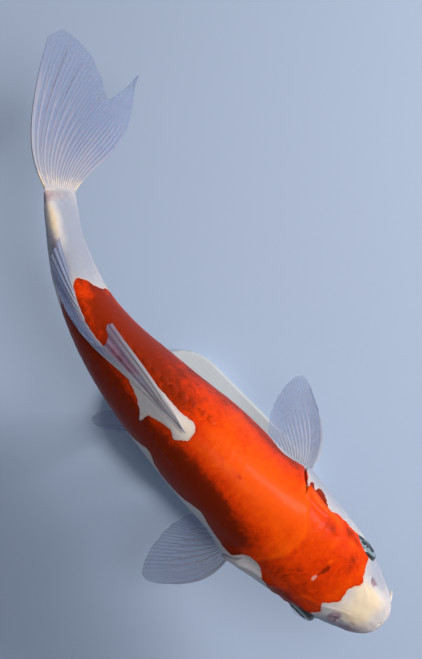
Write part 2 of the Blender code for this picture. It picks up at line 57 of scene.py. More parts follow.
# --- the body plan, as in the solids ----------------------------------------------------
STANDARD_LENGTH = 0.325
SNOUT = (0.0379, -0.1945)
SPINE_HEIGHT = 0.112
SNOUT_ROUND = 0.048
SNOUT_POWER = 2.2
HEADINGS = ((0.00, 104), (0.12, 105), (0.25, 106.5), (0.40, 104), (0.55, 104.5),
            (0.65, 101), (0.74, 92), (0.84, 79.5), (0.93, 69), (1.00, 62))
HALF_WIDTHS = ((0.00, 15.0), (0.04, 17.2), (0.08, 22.6), (0.125, 27.0), (0.17, 30.0),
               (0.22, 32.2), (0.28, 32.6), (0.36, 31.4), (0.45, 30.4), (0.53, 27.6),
               (0.61, 24.2), (0.69, 19.8), (0.77, 15.4), (0.85, 12.3), (0.92, 8.8),
               (0.97, 6.0), (1.00, 1.3))
BACKS = ((0.00, 12.0), (0.04, 15.5), (0.08, 21.0), (0.125, 27.0), (0.17, 32.5), (0.22, 38.0),
         (0.28, 43.5), (0.36, 48.0), (0.45, 50.0), (0.53, 47.5), (0.61, 42.0), (0.69, 35.0),
         (0.77, 28.0), (0.85, 21.8), (0.92, 17.8), (0.97, 17.2), (1.00, 17.6))
BELLIES = ((0.00, 10.5), (0.04, 14.5), (0.08, 19.5), (0.125, 24.5), (0.17, 29.0), (0.22, 33.0),
           (0.28, 38.0), (0.36, 42.5), (0.45, 44.5), (0.53, 43.0), (0.61, 38.5), (0.69, 31.0),
           (0.77, 25.5), (0.85, 20.4), (0.92, 17.2), (0.97, 16.8), (1.00, 17.2))
DROPS = ((0.00, -7.0), (0.10, -3.5), (0.20, -1.0), (0.30, 0.0), (1.00, 0.0))
ROLLS = ((0.00, 3), (0.30, 3), (0.50, 1.5), (0.65, 1), (0.76, 6), (0.84, 9), (0.92, 17),
         (1.00, 28))
FULLNESS = ((0.00, 2.1), (0.05, 2.3), (0.125, 2.6), (0.20, 2.5), (0.32, 2.25), (0.50, 2.1),
            (1.00, 2.0))
SPINE_STEPS = 400

# --- the skin's mesh --------------------------------------------------------------------
SKIN_COLUMNS = 224
SNOUT_RINGS = 46
RING_SPACING = ((0.048, 0.55), (0.10, 0.60), (0.25, 0.60), (0.278, 0.45), (0.2845, 0.14),
                (0.2875, 0.14), (0.294, 0.50), (0.32, 0.90), (0.45, 1.35), (0.85, 1.35),
                (0.97, 0.80), (1.00, 0.60))     # share, mm between rings

# --- head -------------------------------------------------------------------------------
EYE_SHARE, EYE_ANGLE = 0.130, 11
EYES = {1: (7, 6.3 * MM), -1: (13, 4.5 * MM)}    # side: degrees up, how deep the centre lies
SOCKET_RADIUS = 9.3                 # mm, where skin gives way to the soft rim of the eye
GILL_REAR = 0.286
GILL_EDGE = ((-90, 0.205), (-76, 0.236), (-62, 0.258), (-45, 0.276), (-25, 0.285), (0, 0.293),
             (15, 0.297), (28, 0.290), (38, 0.278), (48, 0.268))    # angle, share
GILL_LENGTH = 37.0                  # mm from front to rear of the cover

# Section of the skin at the rear edge of a gill cover: mm behind the edge, height as a share
# of the swell, mm sunk, mm slid backwards. Behind the edge it tucks forward under it.
GILL_SECTION = ((-5.0, 1.00, 0.0, 0.0), (-0.6, 1.00, 0.0, 0.0), (-0.15, 0.97, 0.0, 0.10),
                (0.05, 0.86, 0.0, 0.12), (0.20, 0.66, 0.0, -0.02), (0.40, 0.50, 0.1, -0.40),
                (0.65, 0.46, 0.30, -0.85), (1.00, 0.56, 0.35, -0.90), (1.60, 0.64, 0.25, -0.50),
                (3.0, 0.62, 0.05, -0.05), (6.0, 0.45, 0.0, 0.0), (11.0, 0.18, 0.0, 0.0),
                (18.0, 0.0, 0.0, 0.0))

LIPS = {                            # mm in the head's frame, as in the solids
    "upper": dict(half=11.6, front=3.6, height=-10.5, bow=13.0, sag=3.5, radius=3.6),
    "lower": dict(half=8.9, front=7.2, height=-17.3, bow=8.4, sag=0.4, radius=3.2),
}
LIP_TURN = 98                       # degrees from the front of a lip to its corner
LIP_STEPS = 32
LIP_SWELL = 2.6                     # mm that a lip may stand out of the snout
SLIT_HALF, SLIT_DEPTH = 0.75, 2.6   # mm, of the closed mouth
SOCKET_DEPTH, RIM_SWELL = 5.0, 0.45                      # mm
ROOT_TUCK = 1.2                     # mm that the skin draws in at the root of the tail fin
HEAD_REACH, MOUTH_REACH = 0.34, 0.11                     # no eye socket or lip behind these

NAPE_FRONT, NAPE_SWEEP, NAPE_HALF = 0.222, 0.060, 54     # share, share, degrees
NAPE_SLANT = 0.85                   # the arch crosses the body's length at this cosine


def nape_arch(angle):
    """Share where the bare skull ends and the flesh begins: an arch over the head."""
    return NAPE_FRONT + NAPE_SWEEP * (abs(angle - 90) / NAPE_HALF) ** 1.5


# Furrows and ridges of the head on one side: path of (share, angle), half width, lift, mm.
HEAD_LINES = (
    ("groove behind the upper lip", ((0.0075, 90), (0.010, 50), (0.020, 12), (0.038, -8),
                                     (0.053, -22)), 1.0, -0.75),
    ("cheek fold", ((0.170, 30), (0.181, 5), (0.176, -25), (0.160, -48), (0.135, -62)),
     1.3, -0.55),
    ("rear of the cheek", ((0.178, 34), (0.190, 5), (0.186, -25), (0.170, -50)), 1.8, 0.35),
    ("below the eye", ((0.158, -8), (0.135, -17), (0.108, -14), (0.082, -16), (0.060, -22)),
     1.2, -0.40),
    ("brow", ((0.092, 36), (0.115, 37), (0.145, 36), (0.175, 30)), 2.6, 0.55),
    ("jaw line", ((0.050, -42), (0.085, -52), (0.130, -60), (0.180, -68), (0.225, -76)),
     1.4, -0.6),
    ("upper edge of the gill cover", ((0.28, 35), (0.255, 40), (0.225, 41), (0.195, 36)),
     1.5, 0.9),
    ("under that edge", ((0.270, 28), (0.245, 32), (0.215, 34)), 1.4, -0.70),
    ("above that edge", ((0.272, 44), (0.245, 48), (0.215, 49)), 1.3, -0.35),
    ("gill cover plate", ((0.190, 22), (0.206, 6), (0.213, -15), (0.207, -38)), 1.1, -0.22),
    ("lower gill plate", ((0.207, -38), (0.230, -46), (0.255, -50)), 1.0, -0.25),
    ("canal over the eye", ((0.058, 74), (0.085, 68), (0.115, 60), (0.150, 55), (0.185, 46)),
     0.8, 0.22),
    ("canal on the nape", ((0.205, 40), (0.212, 62), (0.214, 90)), 0.9, 0.18),
    ("edge of the flesh on the nape",
     tuple((nape_arch(angle) + 0.005, angle) for angle in range(50, 91, 10)), 1.6, 0.28),
    ("before that edge",
     tuple((nape_arch(angle) - 0.004, angle) for angle in range(50, 91, 10)), 1.8, -0.22),
    ("fold behind the eye", ((0.190, 60), (0.176, 48), (0.168, 36), (0.170, 24)), 1.6, -0.35),
    ("snout crease", ((0.044, 60), (0.050, 38), (0.047, 16)), 1.5, -0.30),
    ("root of the dorsal fin", ((0.492, 86), (0.56, 86), (0.65, 85), (0.74, 84), (0.83, 82)),
     2.3, 0.7),
    ("lateral line", ((0.292, 14), (0.33, 8), (0.40, 5), (0.55, 3), (0.75, 1), (0.97, 0)),
     0.55, -0.16),
)
# Swellings and hollows on one side: share, angle, half width, lift, mm.
HEAD_SPOTS = (
    ("front nostril", 0.0655, 47, 0.90, -1.6), ("rear nostril", 0.0775, 49, 1.35, -2.3),
    ("nostril flap", 0.0712, 48, 0.75, 1.3), ("nostril rim", 0.0820, 54, 1.40, 0.5),
    ("snout hump", 0.060, 76, 4.0, 0.35), ("hollow before the eye", 0.098, 26, 3.2, -0.55),
    ("cheek", 0.150, -28, 7.0, 0.6), ("pectoral root", 0.298, -43, 7.5, 1.3),
    ("pelvic root", 0.520, -74, 6.0, 0.9), ("vent", 0.722, -90, 2.2, 1.0),
    ("nape hollow", 0.232, 70, 6.0, -0.25), ("temple", 0.185, 52, 5.0, 0.3),
)

# --- markings: outlines as (share, angle) over both sides -------------------------------
SADDLE_FRONT = ((0.155, 20), (0.135, 15), (0.12, 22), (0.105, 50), (0.09, 70), (0.10, 85),
                (0.095, 100), (0.115, 115), (0.105, 130), (0.12, 150))    # from eye to eye
SADDLE_RIGHT = ((0.125, 165), (0.17, 168), (0.195, 165), (0.215, 145), (0.245, 130), (0.27, 130),
                (0.295, 145), (0.34, 150), (0.38, 140), (0.42, 153), (0.46, 160), (0.49, 155),
                (0.52, 143), (0.55, 158), (0.575, 172), (0.62, 180), (0.70, 180), (0.76, 168))
SADDLE_REAR = ((0.79, 150), (0.815, 125), (0.82, 85), (0.83, 70), (0.82, 50), (0.80, 30),
               (0.79, 0), (0.775, -12))    # over the back before the tail stem
SADDLE_LEFT = ((0.72, -16), (0.66, -6), (0.60, 4), (0.53, 6), (0.47, -3), (0.42, -8), (0.385, 0),
               (0.355, 12), (0.31, 8), (0.30, 12), (0.28, 38), (0.28, 30), (0.275, 24),
               (0.265, 30), (0.255, 20), (0.24, 27), (0.22, 36), (0.205, 28), (0.18, 25))
RED_SADDLE = SADDLE_FRONT + SADDLE_RIGHT + SADDLE_REAR + SADDLE_LEFT
DORSAL_WHITE = ((0.485, 90), (0.49, 80), (0.50, 75), (0.53, 77), (0.57, 76), (0.60, 77),
                (0.64, 88), (0.625, 98), (0.60, 104), (0.58, 113), (0.567, 120), (0.563, 108),
                (0.545, 102), (0.52, 98), (0.505, 102), (0.495, 97))    # round the fin's front
BAKE_PATCH = 0.003                  # width of a scale's patch on the map of the unrolled skin
OUTLINE_STEPS = 5                   # points between two corners of an outline
PATH_STEPS = 8                      # points between two corners of a furrow or ridge

# --- fins, as in the solids -------------------------------------------------------------
DORSAL_BASE = (0.503, 0.815)
DORSAL_LENGTHS = ((0.00, 75), (0.05, 70), (0.10, 58), (0.20, 46), (0.35, 42), (0.55, 40),
                  (0.80, 37), (1.00, 31))
DORSAL_RISES = ((0.00, 13), (0.08, 10), (0.20, 6), (0.35, 9), (0.60, 12), (0.85, 10), (1.00, 9))
DORSAL_LEANS = ((0.00, -46), (0.08, -38), (0.16, 5), (0.30, 55), (0.60, 70), (0.80, 62),
                (1.00, -52))
DORSAL_CURVES = ((0.00, 0.72), (0.10, 0.85), (0.25, 1.0), (1.00, 0.9))
FANS = {
    "pectoral_fin_left": dict(side=1, base=((0.284, -32), (0.308, -46)), length=62,
                              lead=(52, 18), trail=(15, 12), bow=10.0, heading=(-0.7, 0.7),
                              round_off=0.62, fall=1.25, rays=16),
    "pectoral_fin_right": dict(side=-1, base=((0.289, -39), (0.310, -53)), length=70,
                               lead=(78, 18), trail=(23, 14), bow=13.0, heading=(-0.7, 0.7),
                               round_off=0.78, fall=1.05, rays=16),
    "pelvic_fin_left": dict(side=1, base=((0.490, -64), (0.515, -75)), length=46,
                            lead=(15, 14), trail=(-3, 10), bow=1.0, heading=(0, 1),
                            round_off=0.50, fall=1.7, rays=9),
    "pelvic_fin_right": dict(side=-1, base=((0.490, -64), (0.515, -75)), length=54,
                             lead=(37, 8), trail=(20, 10), bow=1.5, heading=(0, 1),
                             round_off=0.75, fall=1.7, rays=9),
    "anal_fin": dict(side=1, base=((0.745, -90), (0.812, -90)), length=40,
                     lead=(0, 50), trail=(0, 30), bow=1.0, heading=(-1, 0),
                     round_off=0.45, fall=1.7, rays=7),
}
PEAK_RAY, LEAD_SHORTER = 0.16, 0.16
UPPER_LOBE, LOWER_LOBE, FORK_RAY = 82.0, 96.0, 60.0
TAIL_FAN, TAIL_ROOT_HALF = 29, 17.2
TAIL_REACH = 110
TAIL_TURN = ((0, 60), (12, 45), (30, 28), (50, 22), (75, 21), (110, 24))
TAIL_ROLL = ((0, 28), (10, 37), (22, 43), (110, 47))
LOWER_ROLL = ((0, 28), (10, 30), (22, 29), (38, 26), (53, 20), (69, 9), (82, 1), (110, -2))
LOBE_BLEND = (-0.22, 0.12)
UPPER_TWIST, TWIST_REACH, TWIST_POWER = 14, 80, 1.7
LOBE_TIP = 0.10
LOBE_FULLNESS = (1.0, 1.35)         # upper and lower lobe; less is fuller beside the fork
FIN_BURIED = 5.0                    # mm that a fin's root runs on inside the body
TAIL_BURIED = 9.0
DORSAL_BURIED = 0.02                # the same for the dorsal fin, as a share of a ray
RAY_COLUMNS = 14                    # columns of faces to a fin ray

# --- camera: straight above, turned as the fish swims -----------------------------------
VIEW_HEIGHT = 1.15                  # over the spine
VIEW_TALL = 0.382                   # height of the view at the spine's level
VIEW_TURN = 29.5                    # degrees from +Y to the view's upward direction
VIEW_SHIFT = (-0.0019, 0.1992)      # what the camera looks at, from the snout
LENS_WIDTH = 36.0
FLOOR_SIZE = 12.0
AIR_STRENGTH = 0.20


# --- curves through named stations -------------------------------------------------------
def smooth(stations, at):
    """Smooth curve through (place, value) stations, read at one or many places."""
    x, y = (np.array(v, float) for v in zip(*stations))
    slope = np.gradient(y, x)
    at = np.clip(np.asarray(at, float), x[0], x[-1])
    i = np.clip(np.searchsorted(x, at, side="right") - 1, 0, len(x) - 2)
    span = x[i + 1] - x[i]
    t = (at - x[i]) / span
    return ((1 + 2 * t) * (1 - t) ** 2 * y[i] + t * (1 - t) ** 2 * span * slope[i]
            + t * t * (3 - 2 * t) * y[i + 1] + t * t * (t - 1) * span * slope[i + 1])


def eased(value, low, high):
    """0 below low, 1 above high and a smooth step between."""
    t = np.clip((value - low) / (high - low), 0, 1)
    return t * t * (3 - 2 * t)


def walk(headings, length, steps):
    """Distances and places along a path whose heading is read from stations."""
    share = np.linspace(0, 1, steps + 1)
    turn = np.radians(headings(share))
    middle = (turn[1:] + turn[:-1]) / 2
    step = length / steps
    return (share * length, np.r_[0, np.cumsum(np.cos(middle) * step)],
            np.r_[0, np.cumsum(np.sin(middle) * step)])


SPINE = walk(lambda s: smooth(HEADINGS, s), STANDARD_LENGTH, SPINE_STEPS)


def spine_point(share):
    """Point on the spine; past either end it runs straight on."""
    share = np.asarray(share, float)
    along = share * STANDARD_LENGTH
    over = along - np.clip(along, 0, STANDARD_LENGTH)
    turn = np.radians(smooth(HEADINGS, share))
    x = SNOUT[0] + np.interp(along, SPINE[0], SPINE[1]) + over * np.cos(turn)
    y = SNOUT[1] + np.interp(along, SPINE[0], SPINE[2]) + over * np.sin(turn)
    return np.stack([x, y, SPINE_HEIGHT + smooth(DROPS, share) * MM], -1)


def directions(turn, roll):
    """Backward, left and up directions for a heading and a roll, in degrees."""
    turn, roll = np.radians(turn), np.radians(roll)
    zero, one = np.zeros_like(turn), np.ones_like(turn)
    back = np.stack([np.cos(turn), np.sin(turn), zero], -1)
    flat_left = np.stack([np.sin(turn), -np.cos(turn), zero], -1)
    up = np.stack([zero, zero, one], -1)
    c, s = np.cos(roll)[..., None], np.sin(roll)[..., None]
    return back, c * flat_left + s * up, c * up - s * flat_left


def body_frame(share):
    return directions(smooth(HEADINGS, share), smooth(ROLLS, share))


def body_point(share, angle, grow=0.0):
    """Point of the body's surface; grow moves it outwards."""
    share, angle = np.broadcast_arrays(np.asarray(share, float), np.radians(angle))
    blunt = 1 - np.clip(share / SNOUT_ROUND, 0, 1)
    cap = np.sqrt(np.clip(1 - blunt ** SNOUT_POWER, 0, 1))
    power = 2 / smooth(FULLNESS, share)
    c, s = np.cos(angle), np.sin(angle)
    height = np.where(s >= 0, smooth(BACKS, share), smooth(BELLIES, share))
    across = smooth(HALF_WIDTHS, share) * MM * cap + grow
    upward = height * MM * cap + grow
    _, left, up = body_frame(share)
    return (spine_point(share)
            + (across * np.sign(c) * np.abs(c) ** power)[..., None] * left
            + (upward * np.sign(s) * np.abs(s) ** power)[..., None] * up)


def head_point(back, side, height):
    """Point in the head's own frame: mm behind the snout, to the left and up."""
    share = np.asarray(back, float) * MM / STANDARD_LENGTH
    _, left, up = body_frame(share)
    base = spine_point(share)
    base[..., 2] -= smooth(DROPS, share) * MM
    return base + np.asarray(side)[..., None] * MM * left + np.asarray(height)[..., None] * MM * up


def other_side(angle, side):
    return angle if side > 0 else 180 - angle


def mean_radius(share):
    """Mean of the body's half width and the height of its back, in mm."""
    return (smooth(HALF_WIDTHS, share) + smooth(BACKS, share)) / 2


def path_on_body(corners, side):
    """Smooth path over the skin through (share, angle) corners of the left side, mirrored for
    the right."""
    knots = np.arange(len(corners))
    at = np.linspace(0, len(corners) - 1, (len(corners) - 1) * PATH_STEPS + 1)
    share = smooth(list(zip(knots, [c[0] for c in corners])), at)
    angle = smooth(list(zip(knots, [c[1] for c in corners])), at)
    return body_point(share, other_side(angle, side))


def near_path(points, path):
    """Distance in mm of each point from a path, and the share of the path where it is nearest."""
    best = np.full(len(points), np.inf)
    along = np.zeros(len(points))
    for k in range(len(path) - 1):
        run = path[k + 1] - path[k]
        t = np.clip((points - path[k]) @ run / (run @ run), 0, 1)
        gap = np.linalg.norm(points - path[k] - t[:, None] * run, axis=1)
        closer = gap < best
        best[closer] = gap[closer]
        along[closer] = (k + t[closer]) / (len(path) - 1)
    return best / MM, along


# --- settings a user would change --------------------------------------------------------
def linear(hex_colour):
    """sRGB hex digits as linear red, green, blue and a full alpha."""
    parts = [int(hex_colour[i:i + 2], 16) / 255 for i in (0, 2, 4)]
    straight = (p / 12.92 if p <= 0.04045 else ((p + 0.055) / 1.055) ** 2.4 for p in parts)
    return (*straight, 1.0)


def size_setting(name, default_mm, description):
    return bpy.props.FloatProperty(name=name, description=description, default=default_mm * MM,
                                   min=0.0, precision=5, unit="LENGTH")


def colour_setting(name, hex_colour, description):
    return bpy.props.FloatVectorProperty(name=name, description=description, subtype="COLOR",
                                         size=4, min=0.0, max=1.0, default=linear(hex_colour))


class KoiSizes(bpy.types.PropertyGroup):
    """Sizes of the fine work"""
    gill_left: size_setting("Left gill", 2.8, "How far the left gill cover's rear edge stands out")
    gill_right: size_setting("Right gill", 4.8,
                             "How far the right gill cover's rear edge stands out")
    web: size_setting("Fin web", 0.45, "Thickness of the web between two rays")
    ray: size_setting("Fin ray", 0.9, "Thickness of a fin ray at its root")
    scale: size_setting("Scale length", 6.6, "Length of a scale beside the dorsal fin")
    eye: size_setting("Eyeball", 8.3, "Radius of the eyeball")
    pupil: size_setting("Pupil", 3.1, "Radius of the pupil")
    iris: size_setting("Iris", 5.9, "Radius of the iris")


class KoiColours(bpy.types.PropertyGroup):
    """Colours of the finish"""
    red: colour_setting("Red", "E43A02", "Red of the head")
    # Orange is the red's own brighter tone and also painted light, on the lit left of the back.
    orange: colour_setting("Orange", "F85503", "Brighter orange of the back")
    # Dark red is the marking's darker rim and also painted shade, on the right side, in the crease
    # under the left gill cover's upper edge and over the rear.
    dark_red: colour_setting("Dark red", "772005", "Deep red in hollows and edges")
    white: colour_setting("White", "D9D1CF", "White skin")
    # Cool white is thin skin where the flesh shows blue, and also painted shade on the sides of
    # the head, gill covers, flanks and tail stem.
    cool: colour_setting("Cool white", "A3A7B6", "Thin white skin, where the flesh shows blue")
    # Cream is the snout's own warm white, and also painted highlights on the snout, the tail stem,
    # the right gill cover's edge and the tail's rays at their root.
    cream: colour_setting("Cream", "F4DDBE", "Warm white of the snout and tail stem")
    flush: colour_setting("Flush", "9A7F8E", "Veined skin round nostrils and fin roots")
    web: colour_setting("Web", "93A1C6", "Web between the fin rays")
    web_root: colour_setting("Fin root", "B4B2C0", "Web near the body, where flesh backs it")
    rays: colour_setting("Rays", "D2D6E2", "Fin rays")
    spines: colour_setting("Dorsal rays", "E2D8D6", "Stronger, fleshier rays of the dorsal fin")
    vein: colour_setting("Vein", "5F3350", "Veins that run beside the outer rays")
    # The folded web's colour is painted shadow in the valley between the dorsal fin's first spines
    # and its crest, reddish where the body's red shows through.
    fold: colour_setting("Folded web", "8C4A4C",
                         "Folded web of the dorsal fin, where red shows through")
    rim: colour_setting("Eye rim", "8298A6", "Soft translucent rim of the eye")
    iris: colour_setting("Iris", "93A0A8", "Silver iris")
    pupil: colour_setting("Pupil", "06070A", "Pupil")
    paint: colour_setting("Base paint", "D3D6D8", "Satin paint of the base")
    steel: colour_setting("Steel", "B4B6B8", "Drawn steel of the rods")
    floor: colour_setting("Floor", "B7C6DE", "Pale seamless floor")


# Fixed tints that go with those colours.
# The second tint on the next line is painted shade, for the mouth's slit, the gill slits and the
# scales' rear edges.
EDGE_PINK, CREVICE_SHADE = "E9B49C", "2A1512"
# The second tint on the next line is painted shade, where the eye's rim meets the skin.
RIM_GREY, RIM_EDGE_SHADE, RIM_LINE, RIM_OUTER = "69786E", "2A1C1C", "B2BFCA", "26323D"
IRIS_DARK, IRIS_EDGE, IRIS_RING = "56656F", "1C242B", "C9C4B2"
CORNEA_DARK, CORNEA_LIGHT = "5F7280", "7C8E9A"
PAINT_DUST, STEEL_LINES, FLOOR_CLOUD, AIR_COLOUR = "C4C8CC", "8E9194", "AEBEDA", "D6DEEA"


# --- making pieces -----------------------------------------------------------------------
def clear_selection():
    bpy.ops.object.select_all(action="DESELECT")


def read_points(piece):
    points = np.empty(len(piece.data.vertices) * 3)
    piece.data.vertices.foreach_get("co", points)
    return points.reshape(-1, 3)


def move_points(piece, points):
    piece.data.vertices.foreach_set("co", np.ascontiguousarray(points, dtype=float).ravel())
    piece.data.update()


def keep_value(piece, name, values):
    """Stores one number per vertex for the materials to read."""
    layer = piece.data.attributes.new(name, "FLOAT", "POINT")
    layer.data.foreach_set("value", np.ascontiguousarray(values, dtype=np.float32).ravel())


def keep_patch(piece, share, angle, flat):
    """Lays a scale's own map as a small patch at its root's place on the unrolled body."""
    layer = piece.data.uv_layers[0]
    layer.name = "OFBake"
    corner = np.empty(len(piece.data.loops), int)
    piece.data.loops.foreach_get("vertex_index", corner)
    place = np.array((share, (angle + 90) / 360)) + flat * BAKE_PATCH / 2
    layer.data.foreach_set("uv", place[corner].ravel())


def shade(piece, degrees=180):
    piece.select_set(True)
    bpy.context.view_layer.objects.active = piece
    bpy.ops.object.shade_smooth()
    if degrees < 180:
        bpy.ops.object.shade_smooth_by_angle(angle=math.radians(degrees))
    piece.select_set(False)


def dress(piece, material, slot, *nodes):
    """Gives a piece its material and its place in the frame."""
    piece.data.materials.clear()
    piece.data.materials.append(material)
    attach(piece, "root")
    if nodes:
        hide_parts(*nodes)
    return piece


def face_outwards(piece):
    """Turns all faces of a closed piece outwards."""
    bpy.context.view_layer.objects.active = piece
    bpy.ops.object.mode_set(mode="EDIT")
    bpy.ops.mesh.select_all(action="SELECT")
    bpy.ops.mesh.normals_make_consistent(inside=False)
    bpy.ops.object.mode_set(mode="OBJECT")


def apply_modifier(piece, kind, **settings):
    """Adds a modifier with its settings and applies it."""
    bpy.context.view_layer.objects.active = piece
    step = piece.modifiers.new(kind.title(), kind)
    for key, value in settings.items():
        setattr(step, key, value)
    bpy.ops.object.modifier_apply(modifier=step.name)


# --- skin --------------------------------------------------------------------------------
def skin_rings():
    """Shares of the skin's rings, from the snout to the tail root."""
    turn = np.linspace(0, math.pi / 2, SNOUT_RINGS + 1)[1:]
    rings = list(SNOUT_ROUND * (1 - np.cos(turn)))
    places, spacing = zip(*RING_SPACING)
    while rings[-1] < 1:
        rings.append(rings[-1] + np.interp(rings[-1], places, spacing) * MM / STANDARD_LENGTH)
    rings[-1] = 1.0
    return np.array(rings)


def gill_line(angle):
    """Share of a gill cover's rear edge at an angle of the left side."""
    return smooth(GILL_EDGE, angle)


def follow_gill_edge(share, angle):
    """Bends the rings so that one of them runs along the gill cover's edge."""
    reach = np.where(share < GILL_REAR, 0.15, 0.12)
    pull = np.cos(np.clip((share - GILL_REAR) / reach, -1, 1) * math.pi / 2) ** 2
    fade = 1 - eased(angle, 40, 62)
    return share + pull * fade * (gill_line(angle) - GILL_REAR)


def outward(points):
    """Unit directions out of a grid of points that closes round its second axis."""
    along = np.gradient(points, axis=0)
    round_body = np.roll(points, -1, axis=1) - np.roll(points, 1, axis=1)
    out = np.cross(along, round_body)
    return out / np.maximum(np.linalg.norm(out, axis=-1, keepdims=True), 1e-12)


def one_side(angle):
    """Angles folded on to the left side, for what both sides share."""
    return np.where(angle > 90, 180 - angle, angle)


def line_relief(points, share):
    """Furrows and ridges, in mm."""
    lift = np.zeros(len(points))
    for _, corners, width, height in HEAD_LINES:
        reach = 5 * width * MM / STANDARD_LENGTH
        low = min(c[0] for c in corners) - reach
        high = max(c[0] for c in corners) + reach
        band = np.flatnonzero((share > low) & (share < high))
        for side in (1, -1):
            gap, along = near_path(points[band], path_on_body(corners, side))
            ends = eased(along, -0.01, 0.14) * (1 - eased(along, 0.86, 1.01))
            if corners[0][1] == 90:
                ends = 1 - eased(along, 0.86, 1.01)
            lift[band] += height * ends * np.exp(-(gap / width) ** 2)
    return lift


def spot_relief(points):
    """Swellings and hollows, in mm."""
    lift = np.zeros(len(points))
    for _, share, angle, width, height in HEAD_SPOTS:
        for side in (1, -1) if angle > -90 else (1,):
            centre = body_point(share, other_side(angle, side))
            gap = np.linalg.norm(points - centre, axis=1) / MM
            lift += height * np.exp(-(gap / width) ** 2)
    return lift


def lip_path(lip):
    """Horseshoe path of a lip and its radius, which tapers to the corners."""
    turn = np.linspace(-1, 1, LIP_STEPS)
    bend = turn * math.radians(LIP_TURN)
    back = lip["front"] + lip["bow"] * (1 - np.cos(bend))
    height = lip["height"] - lip["sag"] * (1 - np.cos(bend))
    radius = lip["radius"] * (1 - 0.45 * np.abs(turn) ** 3)
    return head_point(back, lip["half"] * np.sin(bend), height), radius


def lip_relief(points, normal):
    """Two lips that swell out of the snout, and the slit of the closed mouth between them."""
    lift = np.zeros(len(points))
    paths = []
    for lip in LIPS.values():
        path, radius = lip_path(lip)
        paths.append(path)
        gap, along = near_path(points, path)
        at = np.linspace(0, 1, len(path))
        nearest = np.stack([np.interp(along, at, path[:, k]) for k in range(3)], -1)
        out = np.einsum("ij,ij->i", points - nearest, normal) / MM
        inside = out ** 2 - gap ** 2 + np.interp(along, at, radius) ** 2
        swell = np.where(inside > 0, np.sqrt(np.maximum(inside, 0)) - out, 0)
        lift = np.maximum(lift, np.clip(swell, 0, LIP_SWELL))
    middle = (paths[0] + paths[1]) / 2
    gap, along = near_path(points, middle)
    ends = eased(along, 0.0, 0.10) * (1 - eased(along, 0.90, 1.0))
    return lift, ends * np.exp(-(gap / SLIT_HALF) ** 2)


def eye_places():
    """Side, centre and outward direction of each eye."""
    for side, (degrees, sunk) in EYES.items():
        skin = body_point(EYE_SHARE, other_side(EYE_ANGLE, side))
        _, left, up = body_frame(EYE_SHARE)
        tilt = math.radians(degrees)
        out = side * math.cos(tilt) * left + math.sin(tilt) * up
        yield side, skin - out * sunk, out


def socket_relief(points):
    """Sinks the skin inside each eye's rim and raises a soft ring round it."""
    lift = np.zeros(len(points))
    for _, centre, out in eye_places():
        away = (points - centre) / MM
        height = away @ out
        ring = np.linalg.norm(away - height[:, None] * out, axis=1)
        facing = height > 0
        lift -= facing * SOCKET_DEPTH * (1 - eased(ring, SOCKET_RADIUS - 1.9, SOCKET_RADIUS))
        lift += facing * RIM_SWELL * np.exp(-((ring - SOCKET_RADIUS - 1.2) / 1.1) ** 2)
    return lift


def flesh_relief(share, angle, points):
    """Muscle blocks along the flanks and a slight unevenness, in mm."""
    side = one_side(angle)
    chevron = 0.55 * np.abs(np.mod(side / 38 + 0.5, 2) - 1)
    phase = share * STANDARD_LENGTH / (5.6 * MM) - 2.2 * chevron
    trunk = eased(share, 0.32, 0.45) * (1 - eased(share, 0.95, 0.99))
    blocks = 0.10 * trunk * (0.5 + 0.5 * np.cos(2 * math.pi * phase)) ** 3 * eased(side, -75, -40)
    bumpy = np.array([noise.noise(Vector(p) * 120) + 0.5 * noise.noise(Vector(p) * 300)
                      for p in points])
    head = 1 - eased(share, 0.18, 0.34)
    return bumpy * (0.10 + 0.16 * head) - blocks


def gill_relief(share, side, swell):
    """Lift and backward slide of the gill cover and of the slit behind it, in mm."""
    behind = (share - gill_line(side)) * STANDARD_LENGTH / MM
    opened = eased(side, -88, -76) * (1 - eased(side, 35, 47))
    place, proud, sunk, slid = (np.array(v) for v in zip(*GILL_SECTION))
    cover = np.clip(1 + behind / GILL_LENGTH, 0, 1) ** 2
    lift = swell * cover * np.interp(behind, place, proud) - np.interp(behind, place, sunk)
    rays = 0.12 * np.sin(side * 0.55) * eased(behind, -26, -14) * (1 - eased(behind, -6, -1))
    return opened * (lift + rays), opened * np.interp(behind, place, slid)


def lay_out_skin(sizes):
    """Places, directions and body coordinates of every vertex of the skin, ring by ring, and the
    painted shade of the mouth's slit and the gill slits.
    """
    angle = np.arange(SKIN_COLUMNS) * 360 / SKIN_COLUMNS
    angle = np.mod(angle + 90, 360) - 90
    share, angle = np.meshgrid(skin_rings(), angle, indexing="ij")
    share = follow_gill_edge(share, one_side(angle))
    base = body_point(share, angle)
    out = outward(base)
    flat, normal = base.reshape(-1, 3), out.reshape(-1, 3)
    s, a = share.ravel(), angle.ravel()
    lift = flesh_relief(s, a, flat)
    head = s < HEAD_REACH
    front = s < MOUTH_REACH
    lift += line_relief(flat, s)
    lift += spot_relief(flat)
    lift[head] += socket_relief(flat[head])
    lips, slit = lip_relief(flat[front], normal[front])
    lift[front] += lips - SLIT_DEPTH * slit
    # dark is painted shade: the mouth's slit here, and the slit behind each gill cover at the end.
    dark = np.zeros(len(s))
    dark[front] = slit
    swell = np.where(a > 90, sizes.gill_right, sizes.gill_left) / MM
    cover, slid = gill_relief(s, one_side(a), swell)
    lift += cover
    lift -= ROOT_TUCK * eased(s, 0.985, 1.0)
    lift[: SKIN_COLUMNS * 2] = lift[: SKIN_COLUMNS * 2] * 0.5
    back, _, _ = body_frame(s)
    placed = flat + (lift * MM)[:, None] * normal + (slid * MM)[:, None] * back
    return placed, s, a, np.clip(dark + 0.35 * (slid < -0.5), 0, 1)


